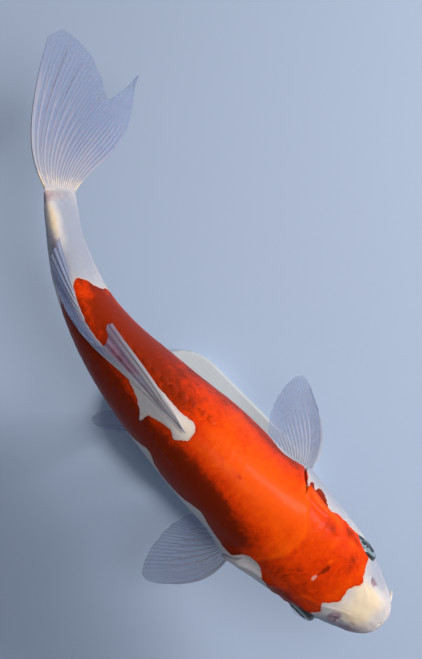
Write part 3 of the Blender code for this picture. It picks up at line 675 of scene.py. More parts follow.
def outline_distance(share, angle, corners):
    """Distance in mm inside (positive) or outside a smooth outline of (share, angle) corners."""
    corners = np.array(corners, float)
    count = len(corners)
    t = (np.arange(OUTLINE_STEPS) / OUTLINE_STEPS)[:, None]
    loop = []
    for k in range(count):
        a, b, c, d = (corners[(k + i) % count] for i in (-1, 0, 1, 2))
        loop.append(0.5 * (2 * b + (c - a) * t + (2 * a - 5 * b + 4 * c - d) * t ** 2
                           + (3 * b - a - 3 * c + d) * t ** 3))
    loop = np.concatenate(loop)

    def flat(s, a):
        return np.stack([s * STANDARD_LENGTH / MM, np.radians(a - 90) * mean_radius(s)], -1)

    here, loop = flat(share, angle), flat(loop[:, 0], loop[:, 1])
    best = np.full(len(here), np.inf)
    inside = np.zeros(len(here), bool)
    for p, q in zip(loop, np.roll(loop, -1, axis=0)):
        run = q - p
        t = np.clip((here - p) @ run / (run @ run + 1e-12), 0, 1)
        best = np.minimum(best, ((here - p - t[:, None] * run) ** 2).sum(1))
        crosses = (p[1] > here[:, 1]) != (q[1] > here[:, 1])
        with np.errstate(divide="ignore", invalid="ignore"):
            level = (q[0] - p[0]) * (here[:, 1] - p[1]) / (q[1] - p[1]) + p[0]
        inside ^= crosses & (here[:, 0] < level)
    return np.where(inside, 1, -1) * np.sqrt(best)


def glow(share, angle, places):
    """Soft patches: each place is (share, angle, half length, half width in mm, strength)."""
    total = np.zeros(len(share))
    radius = mean_radius(share)
    for s, a, long, wide, strength in places:
        x = (share - s) * STANDARD_LENGTH / MM / long
        y = np.radians(angle - a) * radius / wide
        total += strength * np.exp(-(x * x + y * y))
    return total


# Tints of the white skin and of the red: soft patches on the body, partly the skin's own tone and
# partly painted light and shade.
# White tints: cream on the snout, its own tint with painted highlights; painted highlights on the
# tail stem, the tail root and the right gill cover's edge. Negative patches give cool white: thin
# skin, with painted shade on the sides of the head, gill covers, flanks and stem.
WHITE_TINTS_AND_PAINTED_LIGHT = ((0.050, 88, 8, 11, 0.8), (0.076, 72, 9, 6, 1.0), (0.060, 112, 9, 7, 0.9),
                (0.080, 98, 8, 12, 0.3), (0.030, 95, 7, 18, 0.4), (0.052, 60, 7, 5, 0.5),
                (0.928, 82, 8, 6, 1.4), (0.905, 76, 6, 4, 0.7), (0.955, 76, 8, 5, 1.4),
                (0.990, 66, 4, 8, 1.1), (0.10, 15, 14, 18, -0.8), (0.09, 165, 14, 18, -0.8),
                (0.25, 0, 30, 28, -1.0), (0.24, 180, 30, 24, -0.9), (0.06, 30, 12, 12, -0.6),
                (0.06, 150, 9, 10, -0.6), (0.025, 90, 5, 9, -0.4), (0.93, 150, 26, 14, -0.9),
                (0.87, 30, 26, 18, -1.1), (0.95, 15, 18, 14, -0.9), (0.86, 100, 9, 9, -0.4),
                (0.45, 0, 60, 10, -0.7), (0.50, 180, 60, 14, -1.0), (0.503, 85, 7, 7, 0.6),
                (0.25, 152, 8, 3, 0.9))
# Depth of the red, over its own tone. Painted light: brighter orange on the lit left of the back,
# and a painted highlight along the left gill cover's upper edge. Painted shade: darker red on the
# right side and in the crease under that edge; the rear is darker both in its own tone and by
# painted shade. The small spots are the skin's own marks.
RED_TONE_AND_PAINTED_LIGHT = ((0.155, 98, 16, 24, -0.25), (0.125, 60, 5, 7, -0.6), (0.105, 56, 3, 4, 0.6),
                (0.30, 66, 30, 14, 0.9), (0.42, 70, 30, 12, 0.6), (0.25, 40, 10, 1.6, 2.2),
                (0.200, 38, 7, 2.5, 0.9), (0.275, 27, 2.5, 4.0, -3.0), (0.255, 24, 5, 3.5, -3.2),
                (0.235, 29, 5, 2.5, -2.4), (0.235, 88, 2.0, 12, 0.6), (0.16, 32, 9, 4, -1.3),
                (0.205, 52, 8, 5, -0.8), (0.150, 44, 4, 2, 1.0),
                (0.36, 80, 20, 6, 0.4), (0.66, 60, 46, 18, -1.7), (0.74, 20, 50, 18, -1.5),
                (0.55, 12, 36, 12, -1.1), (0.33, 14, 26, 11, -1.3), (0.43, 8, 26, 9, -1.0),
                (0.80, 62, 7, 6, 1.0), (0.175, 130, 12, 3, 0.5), (0.20, 152, 20, 8, -1.6),
                (0.145, 155, 14, 7, -1.2), (0.32, 150, 26, 12, -1.2), (0.44, 150, 34, 14, -1.4),
                (0.58, 145, 36, 16, -1.7), (0.72, 140, 30, 18, -1.9), (0.155, 87, 0.9, 1.5, -2.2),
                (0.158, 92, 0.5, 1.6, -1.1), (0.16, 80, 1.0, 1.6, 1.6), (0.11, 80, 3, 16, 0.5),
                (0.145, 120, 8, 2.0, 0.6), (0.29, 70, 0.8, 0.6, 1.4), (0.39, 67, 1.5, 1.3, 2.0),
                (0.38, 80, 1.6, 1.4, -2.0), (0.54, 74, 26, 13, -0.9),
                (0.38, 106, 40, 9, -1.0), (0.45, 104, 30, 9, -0.6), (0.21, 118, 22, 7, -0.4),
                (0.78, 58, 14, 9, -0.5))
# Painted shade: the red darkens over the right side of the back and flank, which is turned from
# the lamps.
PAINTED_SHADE_RIGHT = ((100, 123), (0.255, 0.33), 2.0)    # angles, shares, depth: deeper red on the right
FLUSH_PATCHES = ((0.045, 28, 10, 8, 0.42), (0.042, 152, 11, 9, 0.5), (0.022, 90, 4, 14, 0.35),
                 (0.080, 127, 3.4, 5.0, 1.7), (0.074, 50, 2.6, 2.6, 1.2), (0.05, 146, 8, 5, 0.35),
                 (0.30, -42, 6, 8, 0.8), (0.30, 222, 6, 8, 0.8), (0.52, -72, 6, 6, 0.6),
                 (0.52, 252, 6, 6, 0.6), (0.055, 80, 9, 3, 0.2), (0.045, 150, 7, 4, 0.3),
                 (0.985, 40, 5, 14, 0.6), (0.980, 108, 4, 9, 0.8), (0.78, -90, 12, 6, 0.5),
                 (0.88, 92, 12, 6, 0.45), (0.91, 100, 10, 6, 0.35))
FLECKS = ((0.16, 97, 1.3, 2.2, 1.0),)


def paint_skin(piece, share, angle, dark):
    """Stores the marking and tints of each vertex; the tints carry painted light and shade as well
    as the skin's own tone.
    """
    red = np.minimum(outline_distance(share, angle, RED_SADDLE),
                     -outline_distance(share, angle, DORSAL_WHITE))
    keep_value(piece, "red", red)
    keep_value(piece, "warm", glow(share, angle, WHITE_TINTS_AND_PAINTED_LIGHT))
    # Painted shade deepens the red on the right side.
    painted_shade = eased(angle, *PAINTED_SHADE_RIGHT[0]) * eased(share, *PAINTED_SHADE_RIGHT[1])
    ahead = (nape_arch(angle) - share) * STANDARD_LENGTH / MM * NAPE_SLANT
    edge = 0.7 * np.exp(-((ahead + 1.2) / 1.3) ** 2) - 0.45 * eased(ahead, -0.8, 1.6)
    on_top = 1 - eased(abs(angle - 90), NAPE_HALF - 4, NAPE_HALF + 6)
    keep_value(piece, "deep",
               glow(share, angle, RED_TONE_AND_PAINTED_LIGHT) - PAINTED_SHADE_RIGHT[2] * painted_shade + edge * on_top)
    keep_value(piece, "flush", glow(share, angle, FLUSH_PATCHES))
    keep_value(piece, "fleck", glow(share, angle, FLECKS))
    keep_value(piece, "dark", dark)


# --- materials ---------------------------------------------------------------------------
TINT = dict(data_type="RGBA")
PLUS, LESS, TIMES = (dict(operation=name) for name in ("ADD", "SUBTRACT", "MULTIPLY"))
EASED = dict(interpolation_type="SMOOTHSTEP")


def add(tree, kind, *values, named=None, out=None, **settings):
    """Adds a shader node and returns one of its outputs. values go to its sockets in order and
    those in named by name; an output among them is linked, anything else is set."""
    made = tree.nodes.new("ShaderNode" + kind)
    for key, value in settings.items():
        setattr(made, key, value)
    places = [socket for socket in made.inputs if socket.enabled]
    pairs = list(zip(places, values)) + [(made.inputs[key], value)
                                         for key, value in (named or {}).items()]
    for socket, value in pairs:
        if isinstance(value, bpy.types.NodeSocket):
            tree.links.new(value, socket)
        else:
            socket.default_value = value
    return made.outputs[out] if out else next(s for s in made.outputs if s.enabled)


def start_material(name, **shader_settings):
    """New material; returns it, its node tree and its Principled shader."""
    made = bpy.data.materials.new(name)
    made.use_nodes = True
    shader = made.node_tree.nodes["Principled BSDF"]
    for key, value in shader_settings.items():
        shader.inputs[key.replace("_", " ")].default_value = value
    return made, made.node_tree, shader


def join(tree, shader, **links):
    for key, value in links.items():
        tree.links.new(value, shader.inputs[key.replace("_", " ")])


def wet_skin(colours):
    """Scaleless fish skin under clear slime: soft inside, with a tight wet gloss."""
    made, tree, shader = start_material("wet_scaleless_skin", IOR=1.36, Subsurface_Weight=0.12,
                                        Subsurface_Scale=0.003, Coat_Weight=0.05,
                                        Coat_Roughness=0.12, Coat_IOR=1.33)
    shader.inputs["Specular IOR Level"].default_value = 0.09
    shader.inputs["Subsurface Radius"].default_value = (1.0, 0.42, 0.24)
    where = add(tree, "TexCoord", out="Object")
    # size of each mottling in mm, detail, roughness, distortion
    mottles = ((0.9, 3.0, 0.55, 0.0), (3.2, 4.0, 0.55, 0.0), (14, 5.0, 0.6, 0.8),
               (7.0, 5.0, 0.65, 1.5), (2.0, 4.0, 0.7, 0.0), (0.55, 2.0, 0.55, 0.0))
    fine, small, broad, cloud, blotches, pits = (
        add(tree, "Math", add(tree, "TexNoise", where, 1 / (size * MM), detail, rough, 2.0, bend),
            0.5, **LESS)
        for size, detail, rough, bend in mottles)
    marking, fleck, deep, warm, flush, dark = (
        add(tree, "Attribute", out="Fac", attribute_name=name)
        for name in ("red", "fleck", "deep", "warm", "flush", "dark"))

    edge = add(tree, "Math",
               add(tree, "Math", marking, add(tree, "Math", small, 2.2, **TIMES), **PLUS),
               add(tree, "Math", fine, 1.0, **TIMES), **PLUS)
    is_red = add(tree, "MapRange", edge, -0.22, 0.22, 0.0, 1.0, **EASED)
    holes = add(tree, "MapRange",
                add(tree, "Math", fleck, add(tree, "Math", fine, 0.5, **TIMES), **PLUS), 0.42,
                0.62, 0.0, 1.0, **EASED)
    is_red = add(tree, "Math", is_red, add(tree, "MapRange", holes, 0.0, 1.0, 1.0, 0.5, **EASED),
                 **TIMES)

    # Depth turns the red towards orange where painted light lies and towards dark red in painted
    # shade, besides following the red's own tone.
    depth = deep
    for mottling, strength in ((broad, 2.0), (cloud, 2.2), (small, 0.8)):
        depth = add(tree, "Math", depth, add(tree, "Math", mottling, strength, **TIMES), **PLUS)
    red = add(tree, "Mix", add(tree, "MapRange", depth, -0.9, 0.9, 0.0, 1.0, **EASED), colours.red,
              colours.orange, **TINT)
    rimmed = add(tree, "MapRange", edge, 0.0, 1.4, 0.35, 0.0, **EASED)
    red = add(tree, "Mix",
              add(tree, "Math", rimmed,
                  add(tree, "MapRange", depth, -0.45, -1.9, 0.0, 0.85, **EASED), **PLUS), red,
              colours.dark_red, **TINT)

    # Cream and cool white over the white skin: its own tints, with painted highlights and painted
    # shade.
    for mottling, strength in ((broad, 0.7), (small, 0.5)):
        warm = add(tree, "Math", warm, add(tree, "Math", mottling, strength, **TIMES), **PLUS)
    white = add(tree, "Mix", add(tree, "MapRange", warm, -0.1, 1.2, 0.0, 1.0, **EASED),
                colours.white, colours.cream, **TINT)
    white = add(tree, "Mix", add(tree, "MapRange", warm, 0.25, -1.3, 0.0, 1.0, **EASED), white,
                colours.cool, **TINT)
    pinked = add(tree, "Math", flush, add(tree, "Math", blotches, 0.9, **TIMES), **PLUS)
    white = add(tree, "Mix", add(tree, "MapRange", pinked, 0.25, 1.0, 0.0, 0.8, **EASED), white,
                colours.flush, **TINT)

    white = add(tree, "Mix", add(tree, "MapRange", edge, -1.8, -0.2, 0.0, 0.45, **EASED), white,
                linear(EDGE_PINK), **TINT)
    colour = add(tree, "Mix", is_red, white, red, **TINT)
    # Painted shade: darkens the mouth's slit, the gill slits and each scale's rear edge.
    colour = add(tree, "Mix", add(tree, "Math", dark, 0.85, **TIMES), colour, linear(CREVICE_SHADE),
                 **TINT)
    rough = add(tree, "Math", 0.46, add(tree, "Math", small, 0.2, **TIMES), **PLUS)
    relief = add(tree, "Math", add(tree, "Math", pits, 0.35, **TIMES),
                 add(tree, "Math", small, 0.65, **TIMES), **PLUS)
    join(tree, shader, Base_Color=colour, Roughness=rough,
         Normal=add(tree, "Bump",
                    named={"Strength": 0.22, "Distance": 0.35 * MM, "Height": relief}))
    return made


def fin_web(name, colours, clear, veins_and_shadow, flesh, vein_and_shadow_colour, ray_colour, fade=0.6, root_highlight=0.0):
    """Fin: a milky web stretched over slightly paler rays; clear is the web's opacity, fade how
    far the rays take its colour, and the last argument how much painted highlight in cream the
    rays get where they leave the body."""
    made, tree, shader = start_material(name, IOR=1.36, Roughness=0.42, Coat_Weight=0.08,
                                        Coat_Roughness=0.25, Subsurface_Weight=0.12,
                                        Subsurface_Scale=0.0012)
    shader.inputs["Specular IOR Level"].default_value = 0.35
    where = add(tree, "TexCoord", out="Object")
    ray, tip, streak = (add(tree, "Attribute", out="Fac", attribute_name=name)
                        for name in ("ray", "tip", "vein"))
    small, broad = (
        add(tree, "Math", add(tree, "TexNoise", where, 1 / (size * MM), 4.0, 0.55, 2.0, 0.0), 0.5,
            **LESS) for size in (3.0, 15))
    on_ray = add(tree, "Math", add(tree, "MapRange", ray, 0.0, 0.95, 0.0, 1.0, **EASED),
                 add(tree, "MapRange", tip, 0.45, 1.0, 1.0, 0.45, **EASED), **TIMES)
    web = add(tree, "Mix",
              add(tree, "MapRange",
                  add(tree, "Math", tip, add(tree, "Math", broad, 0.6, **TIMES), **PLUS), 0.0, 0.6,
                  0.0, 1.0, **EASED), colours.web_root, colours.web, **TINT)
    # Streaks in the vein colour: veins on the paired and tail fins, painted shadow in the valley
    # of the folded dorsal fin.
    vein = add(tree, "Math", streak,
               add(tree, "MapRange", add(tree, "Math", small, 0.5, **PLUS), 0.2, 0.8, 0.3, 1.0,
                   **EASED), **TIMES)
    between = add(tree, "Math", vein, add(tree, "MapRange", on_ray, 0.1, 0.6, 1.0, 0.15, **EASED),
                  **TIMES)
    web = add(tree, "Mix", add(tree, "Math", between, veins_and_shadow, **TIMES), web, vein_and_shadow_colour, **TINT)
    ray_tint = add(tree, "Mix",
                   add(tree, "MapRange",
                       add(tree, "Math", tip, add(tree, "Math", broad, 0.8, **TIMES), **PLUS),
                       0.25, 1.0, 0.0, fade, **EASED), ray_colour, colours.web, **TINT)
    colour = add(tree, "Mix",
                 add(tree, "Math", on_ray,
                     add(tree, "MapRange", between, 0.2, 1.0, 0.8, 0.35, **EASED), **TIMES), web,
                 ray_tint, **TINT)
    root = add(tree, "MapRange",
               add(tree, "Math", tip, add(tree, "Math", small, 0.2, **TIMES), **PLUS), 0.0, flesh,
               1.0, 0.0, **EASED)
    colour = add(tree, "Mix", root, colour, colours.web_root, **TINT)
    # Painted highlight: cream on the rays just where they leave the body.
    lit = add(tree, "Math",
              add(tree, "MapRange",
                  add(tree, "Math", tip, add(tree, "Math", small, 0.1, **TIMES), **PLUS), 0.05,
                  0.13, root_highlight, 0.0, **EASED),
              add(tree, "MapRange", ray, 0.3, 0.9, 0.0, 1.0, **EASED), **TIMES)
    colour = add(tree, "Mix", lit, colour, colours.cream, **TINT)
    solid = add(tree, "MapRange", on_ray, 0.0, 1.0, clear, 0.88, **EASED)
    solid = add(tree, "Math", solid,
                add(tree, "MapRange",
                    add(tree, "Math", tip, add(tree, "Math", broad, 0.3, **TIMES), **PLUS), 0.35,
                    1.05, 1.0, 0.68, **EASED), **TIMES)
    opacity = add(tree, "Math", solid, add(tree, "Math", root, 0.96, **TIMES), operation="MAXIMUM")
    opacity = add(tree, "Math", opacity, add(tree, "Math", between, 0.7 * veins_and_shadow, **TIMES),
                  operation="MAXIMUM")
    joints = add(tree, "Math", add(tree, "Math", tip, 260.0, **TIMES), operation="SINE")
    relief = add(tree, "Math",
                 add(tree, "Math", add(tree, "Math", joints, on_ray, **TIMES), 0.25, **TIMES),
                 small, **PLUS)
    join(tree, shader, Base_Color=colour, Alpha=opacity,
         Normal=add(tree, "Bump",
                    named={"Strength": 0.15, "Distance": 0.2 * MM, "Height": relief}))
    return made


def eye_rim_tissue(colours):
    """Soft clear tissue over the dark orbit: streaked blue-grey with a thin pale ring, and painted
    shade where it meets the skin.
    """
    made, tree, shader = start_material("eye_rim_tissue", IOR=1.37, Roughness=0.22,
                                        Coat_Weight=0.35, Coat_Roughness=0.08,
                                        Subsurface_Weight=0.1, Subsurface_Scale=0.001)
    where = add(tree, "TexCoord", out="Object")
    small = add(tree, "Math", add(tree, "TexNoise", where, 1 / (1.6 * MM), 4.0, 0.6, 2.0, 1.2),
                0.5, **LESS)
    ring = add(tree, "Math", add(tree, "Attribute", out="Fac", attribute_name="ring"),
               add(tree, "Math", small, 0.1, **TIMES), **PLUS)
    colour = add(tree, "Mix",
                 add(tree, "MapRange", add(tree, "Math", small, 0.5, **PLUS), 0.3, 0.7, 0.0, 1.0,
                     **EASED), linear(RIM_GREY), colours.rim, **TINT)
    # Painted shade: dark at the rim's outer edge, where it meets the skin.
    colour = add(tree, "Mix", add(tree, "MapRange", ring, 0.0, 0.14, 0.9, 0.0, **EASED), colour,
                 linear(RIM_EDGE_SHADE), **TINT)
    line = add(tree, "Math", add(tree, "MapRange", ring, 0.58, 0.66, 0.0, 1.0, **EASED),
               add(tree, "MapRange", ring, 0.8, 0.72, 0.0, 1.0, **EASED), **TIMES)
    colour = add(tree, "Mix", add(tree, "Math", line, 0.5, **TIMES), colour, linear(RIM_LINE),
                 **TINT)
    colour = add(tree, "Mix", add(tree, "MapRange", ring, 0.8, 0.95, 0.0, 0.8, **EASED), colour,
                 linear(RIM_OUTER), **TINT)
    join(tree, shader, Base_Color=colour,
         Normal=add(tree, "Bump", named={"Strength": 0.15, "Distance": 0.2 * MM, "Height": small}))
    return made


def eye_inside(colours):
    """Iris with a dark, finely streaked stroma, a thin silver ring and a black pupil."""
    made, tree, shader = start_material("iris_and_pupil", IOR=1.38, Roughness=0.25,
                                        Coat_Weight=0.8, Coat_Roughness=0.04)
    where = add(tree, "TexCoord", out="Object")
    ring = add(tree, "Attribute", out="Fac", attribute_name="ring")
    small = add(tree, "Math", add(tree, "TexNoise", where, 1 / (0.7 * MM), 4.0, 0.55, 2.0, 0.0),
                0.5, **LESS)
    silver = add(tree, "Mix",
                 add(tree, "MapRange", add(tree, "Math", small, 0.5, **PLUS), 0.25, 0.75, 0.0, 1.0,
                     **EASED), linear(IRIS_DARK), colours.iris, **TINT)
    silver = add(tree, "Mix", add(tree, "MapRange", ring, 0.84, 1.0, 0.0, 1.0, **EASED), silver,
                 linear(IRIS_EDGE), **TINT)
    bright = add(tree, "Math", add(tree, "MapRange", ring, 0.55, 0.58, 0.0, 1.0, **EASED),
                 add(tree, "MapRange", ring, 0.68, 0.61, 0.0, 1.0, **EASED), **TIMES)
    silver = add(tree, "Mix", add(tree, "Math", bright, 0.75, **TIMES), silver, linear(IRIS_RING),
                 **TINT)
    colour = add(tree, "Mix", add(tree, "MapRange", ring, 0.54, 0.57, 0.0, 1.0, **EASED),
                 colours.pupil, silver, **TINT)
    join(tree, shader, Base_Color=colour,
         Normal=add(tree, "Bump", named={"Strength": 0.2, "Distance": 0.1 * MM, "Height": small}))
    return made


def clear_cornea():
    """Wet clear cornea: almost no colour, a hard highlight."""
    made, tree, shader = start_material("clear_cornea", IOR=1.38, Roughness=0.02, Alpha=0.13,
                                        Coat_Weight=1.0, Coat_Roughness=0.02)
    where = add(tree, "TexCoord", out="Object")
    tint = add(tree, "Mix",
               add(tree, "MapRange",
                   add(tree, "Math",
                       add(tree, "TexNoise", where, 1 / (4.0 * MM), 3.0, 0.55, 2.0, 0.0), 0.5,
                       **LESS), -0.3, 0.3, 0.0, 1.0, **EASED), linear(CORNEA_DARK),
               linear(CORNEA_LIGHT), **TINT)
    join(tree, shader, Base_Color=tint)
    return made


def satin_paint(colours):
    """Powder coat on steel plate: fine orange peel, soft sheen."""
    made, tree, shader = start_material("satin_powder_coat", Roughness=0.42, IOR=1.5)
    where = add(tree, "TexCoord", out="Object")
    peel = add(tree, "Math", add(tree, "TexNoise", where, 1 / (1.1 * MM), 2.0, 0.55, 2.0, 0.0),
               0.5, **LESS)
    dust = add(tree, "Math", add(tree, "TexNoise", where, 1 / (30 * MM), 4.0, 0.55, 2.0, 0.0), 0.5,
               **LESS)
    colour = add(tree, "Mix", add(tree, "MapRange", dust, -0.35, 0.35, 0.0, 1.0, **EASED),
                 colours.paint, linear(PAINT_DUST), **TINT)
    join(tree, shader, Base_Color=colour,
         Normal=add(tree, "Bump", named={"Strength": 0.25, "Distance": 0.12 * MM, "Height": peel}))
    return made


def drawn_steel(colours):
    """Drawn steel rod: fine lines along its length."""
    made, tree, shader = start_material("drawn_steel", Metallic=1.0)
    where = add(tree, "TexCoord", out="Object")
    stretched = add(tree, "Mapping", named={"Vector": where, "Scale": (2600.0, 2600.0, 40.0)})
    lines = add(tree, "TexNoise", named={"Vector": stretched, "Scale": 1.0, "Detail": 3.0})
    colour = add(tree, "Mix", add(tree, "MapRange", lines, 0.3, 0.7, 0.0, 1.0, **EASED),
                 colours.steel, linear(STEEL_LINES), **TINT)
    join(tree, shader, Base_Color=colour,
         Roughness=add(tree, "MapRange", lines, 0.2, 0.8, 0.24, 0.42, **EASED),
         Normal=add(tree, "Bump",
                    named={"Strength": 0.12, "Distance": 0.05 * MM, "Height": lines}))
    return made


def studio_floor(colours):
    """Matt paper floor with a barely visible tooth."""
    made, tree, shader = start_material("matt_paper", Roughness=0.9, IOR=1.4)
    where = add(tree, "TexCoord", out="Object")
    cloud = add(tree, "Math", add(tree, "TexNoise", where, 1 / (400 * MM), 2.0, 0.55, 2.0, 0.0),
                0.5, **LESS)
    tooth = add(tree, "Math", add(tree, "TexNoise", where, 1 / (2.0 * MM), 2.0, 0.55, 2.0, 0.0),
                0.5, **LESS)
    soft = add(tree, "Mix", add(tree, "MapRange", cloud, -0.4, 0.4, 0.0, 0.25, **EASED),
               colours.floor, linear(FLOOR_CLOUD), **TINT)
    join(tree, shader, Base_Color=soft,
         Normal=add(tree, "Bump", named={"Strength": 0.05, "Distance": 0.1 * MM, "Height": tooth}))
    return made


# --- fins --------------------------------------------------------------------------------
def dorsal_surface(u, t):
    """Folded dorsal fin: rays laid back along the ridge, fallen over to the right."""
    length = smooth(DORSAL_LENGTHS, u) * MM
    rise, lean = np.radians(smooth(DORSAL_RISES, u)), np.radians(smooth(DORSAL_LEANS, u))
    base = DORSAL_BASE[0] + (DORSAL_BASE[1] - DORSAL_BASE[0]) * u
    share = base + t * length * np.cos(rise) / STANDARD_LENGTH
    _, left, up = body_frame(share)
    lift = (np.maximum(t, 0) ** smooth(DORSAL_CURVES, u) * length * np.sin(rise)
            + 1.2 * MM * (1 - t))
    return (body_point(share, 90)
            + (lift * np.cos(lean))[..., None] * up - (lift * np.sin(lean))[..., None] * left)


def fan_surface(fan):
    """Fin whose rays fan out from a short base on the skin."""
    def surface(v, t):
        (share_a, angle_a), (share_b, angle_b) = fan["base"]
        angle = angle_a + (angle_b - angle_a) * v
        share = share_a + (share_b - share_a) * v
        side = fan["side"]
        root = body_point(share, other_side(angle, side), -2 * MM)
        back, left, up = body_frame(share)
        out = np.radians(fan["lead"][0] + (fan["trail"][0] - fan["lead"][0]) * v)
        down = np.radians(fan["lead"][1] + (fan["trail"][1] - fan["lead"][1]) * v)
        ray = ((np.cos(down) * np.cos(out))[..., None] * back
               + (side * np.cos(down) * np.sin(out))[..., None] * left
               - np.sin(down)[..., None] * up)
        before = np.clip(1 - v / PEAK_RAY, 0, 1)
        after = np.clip((v - PEAK_RAY) / (1 - PEAK_RAY), 0, 1)
        shorter = LEAD_SHORTER * before ** 2 + fan["round_off"] * after ** fan["fall"]
        length = fan["length"] * MM * (1 - shorter)
        bulge = fan["bow"] * MM * np.sin(math.pi * np.clip(t, 0, 1) ** 0.75) * (1 - v) ** 1.5
        backwards, outwards = fan["heading"]
        bent = backwards * back + outwards * side * left
        return root + (t * length)[..., None] * ray + bulge[..., None] * bent
    return surface


def tail_surface(u, t):
    """Whole tail fin from its lowest ray (u = 0) to its highest."""
    v = 2 * u - 1
    spread = np.radians(TAIL_FAN) * v
    longest = np.where(v > 0, UPPER_LOBE, LOWER_LOBE)
    fullness = np.where(v > 0, *LOBE_FULLNESS)
    length = FORK_RAY + (longest - FORK_RAY) * np.sin(np.abs(v) * math.pi / 2) ** fullness
    length *= 1 - LOBE_TIP * np.clip(np.abs(v) - 0.86, 0, 1) / 0.14
    along = t * length * np.cos(spread)
    away = (v * TAIL_ROOT_HALF + t * length * np.sin(spread) * (1.28 - 0.28 * t)) * MM
    mm_along, east, north = walk(lambda s: smooth(TAIL_TURN, s * TAIL_REACH), TAIL_REACH,
                                 SPINE_STEPS)
    twist = np.clip(along / TWIST_REACH, 0, 1.2) ** TWIST_POWER
    blend = eased(v, *LOBE_BLEND)
    roll = (blend * (smooth(TAIL_ROLL, along) + twist * np.maximum(v, 0) * UPPER_TWIST)
            + (1 - blend) * smooth(LOWER_ROLL, along))
    heading = smooth(TAIL_TURN, along)
    _, _, up = directions(heading, roll)
    over = np.minimum(along, 0)
    start = math.radians(TAIL_TURN[0][1])
    place = np.stack([np.interp(along, mm_along, east) + over * math.cos(start),
                      np.interp(along, mm_along, north) + over * math.sin(start),
                      np.zeros_like(along)], -1) * MM
    root = spine_point(1.0) - body_frame(1.0)[0] * MM
    return root + place + away[..., None] * up


def ray_relief(x, t, splits):
    """1 on the ridge of a ray and 0 on the web. x counts rays; each ray forks at each split."""
    apart = np.abs(np.mod(x, 1) - 0.5)
    half = 0.24 - 0.07 * np.clip(t, 0, 1)
    for k, split in enumerate(splits):
        opened = 0.25 / 2 ** k * eased(t, split, min(split + 0.45, 1.05))
        apart = np.abs(apart - opened)
        half = half * (1 - 0.42 * eased(t, split, split + 0.25))
    return np.sqrt(np.clip(1 - (apart / half) ** 2, 0, 1))


def build_fin(name, surface, rays, steps, sizes, buried, splits, pleat=0.0, wave=0.5,
              vein=lambda v: 0 * v, ridge=lambda v: 0 * v):
    """A closed fin: a grid laid on a surface, thickened most along its branching rays.

    buried is the length of root inside the body as a share of a ray, pleat the zigzag between rays
    in mm, wave the slack of the web towards the edge in mm; ridge gives the strong rays, and vein
    the streaks beside them, by place across the fin: veins on most fins and a painted shadow on
    the dorsal fin.
    """
    clear_selection()
    bpy.ops.mesh.primitive_grid_add(x_subdivisions=rays * RAY_COLUMNS, y_subdivisions=steps,
                                     size=2)
    piece = bpy.context.object
    piece.name = name
    flat = read_points(piece)
    u, t = (flat[:, 0] + 1) / 2, (flat[:, 1] + 1) / 2
    t = t * (1 + buried) - buried
    x = u * rays
    ray = ray_relief(x, t, splits)
    ray = np.maximum(ray * (1 - 0.8 * np.clip(vein(u), 0, 1)), ridge(u))
    notch = 1 - 0.006 * (1 - ray) * eased(t, 0.85, 1.0)
    notch *= 1 - 0.012 * (0.5 + 0.5 * np.sin(u * 37 + 3 * np.sin(u * 11))) * eased(t, 0.8, 1.0)
    reach = np.where(t > 0, t * notch, t)
    points = surface(u, reach)
    side = surface(np.clip(u + 0.004, 0, 1), reach) - surface(np.clip(u - 0.004, 0, 1), reach)
    ahead = surface(u, reach + 0.004) - surface(u, reach - 0.004)
    normal = np.cross(side, ahead)
    normal /= np.maximum(np.linalg.norm(normal, axis=1, keepdims=True), 1e-12)
    inside = np.clip(t, 0, 1)
    sway = wave * inside ** 2 * np.sin(u * 9.0 + 2.5 * inside)
    fold = pleat * np.minimum(inside * 4, 1) * (2 * np.abs(np.mod(x, 1) - 0.5) - 0.5)
    points = points + ((sway + fold) * MM)[:, None] * normal
    move_points(piece, points)
    keep_value(piece, "ray", ray * eased(t, -0.05, 0.02))
    keep_value(piece, "tip", inside)
    keep_value(piece, "vein", vein(u) * eased(inside, 0.05, 0.2) * (1 - eased(inside, 0.75, 1.0)))
    thick = piece.vertex_groups.new(name="thick")
    share = ray * (1 - 0.55 * inside) * 0.85 + 0.15 * (1 - inside)
    for k, weight in enumerate(share):
        thick.add([k], float(weight), "REPLACE")
    apply_modifier(piece, "SOLIDIFY", thickness=sizes.ray, offset=0.0, vertex_group="thick",
                   thickness_vertex_group=sizes.web / sizes.ray, use_rim=True)
    shade(piece, 60)
    return piece


# --- small solid pieces ------------------------------------------------------------------
def turned(name, profile, segments, centre, axis):
    """Turned piece: a circle extruded and resized step by step through (radius, height) in mm
    about an axis, closed in its middle."""
    clear_selection()
    first_radius, first_height = profile[0]
    bpy.ops.mesh.primitive_circle_add(vertices=segments, radius=first_radius * MM,
                                      location=(0, 0, 0), fill_type="NOTHING")
    piece = bpy.context.object
    piece.name = name
    bpy.ops.object.mode_set(mode="EDIT")
    bpy.ops.mesh.select_all(action="SELECT")
    bpy.ops.transform.translate(value=(0, 0, first_height * MM))
    bpy.ops.mesh.extrude_region_move()
    bpy.ops.mesh.merge(type="CENTER")
    bpy.ops.mesh.select_all(action="SELECT")
    bpy.ops.mesh.select_non_manifold()
    radius, height = first_radius, first_height
    for next_radius, next_height in profile[1:]:
        bpy.ops.mesh.extrude_region_move(
            TRANSFORM_OT_translate={"value": (0, 0, (next_height - height) * MM)})
        if next_radius > 0:
            scale = next_radius / radius
            bpy.ops.transform.resize(value=(scale, scale, 1))
            radius = next_radius
        else:
            bpy.ops.mesh.merge(type="CENTER")
        height = next_height
    bpy.ops.object.mode_set(mode="OBJECT")
    face_outwards(piece)
    about = Vector(axis).to_track_quat("Z", "Y").to_matrix().to_4x4()
    piece.data.transform(Matrix.Translation(Vector(centre)) @ about)
    piece.data.update()
    shade(piece, 50)
    return piece


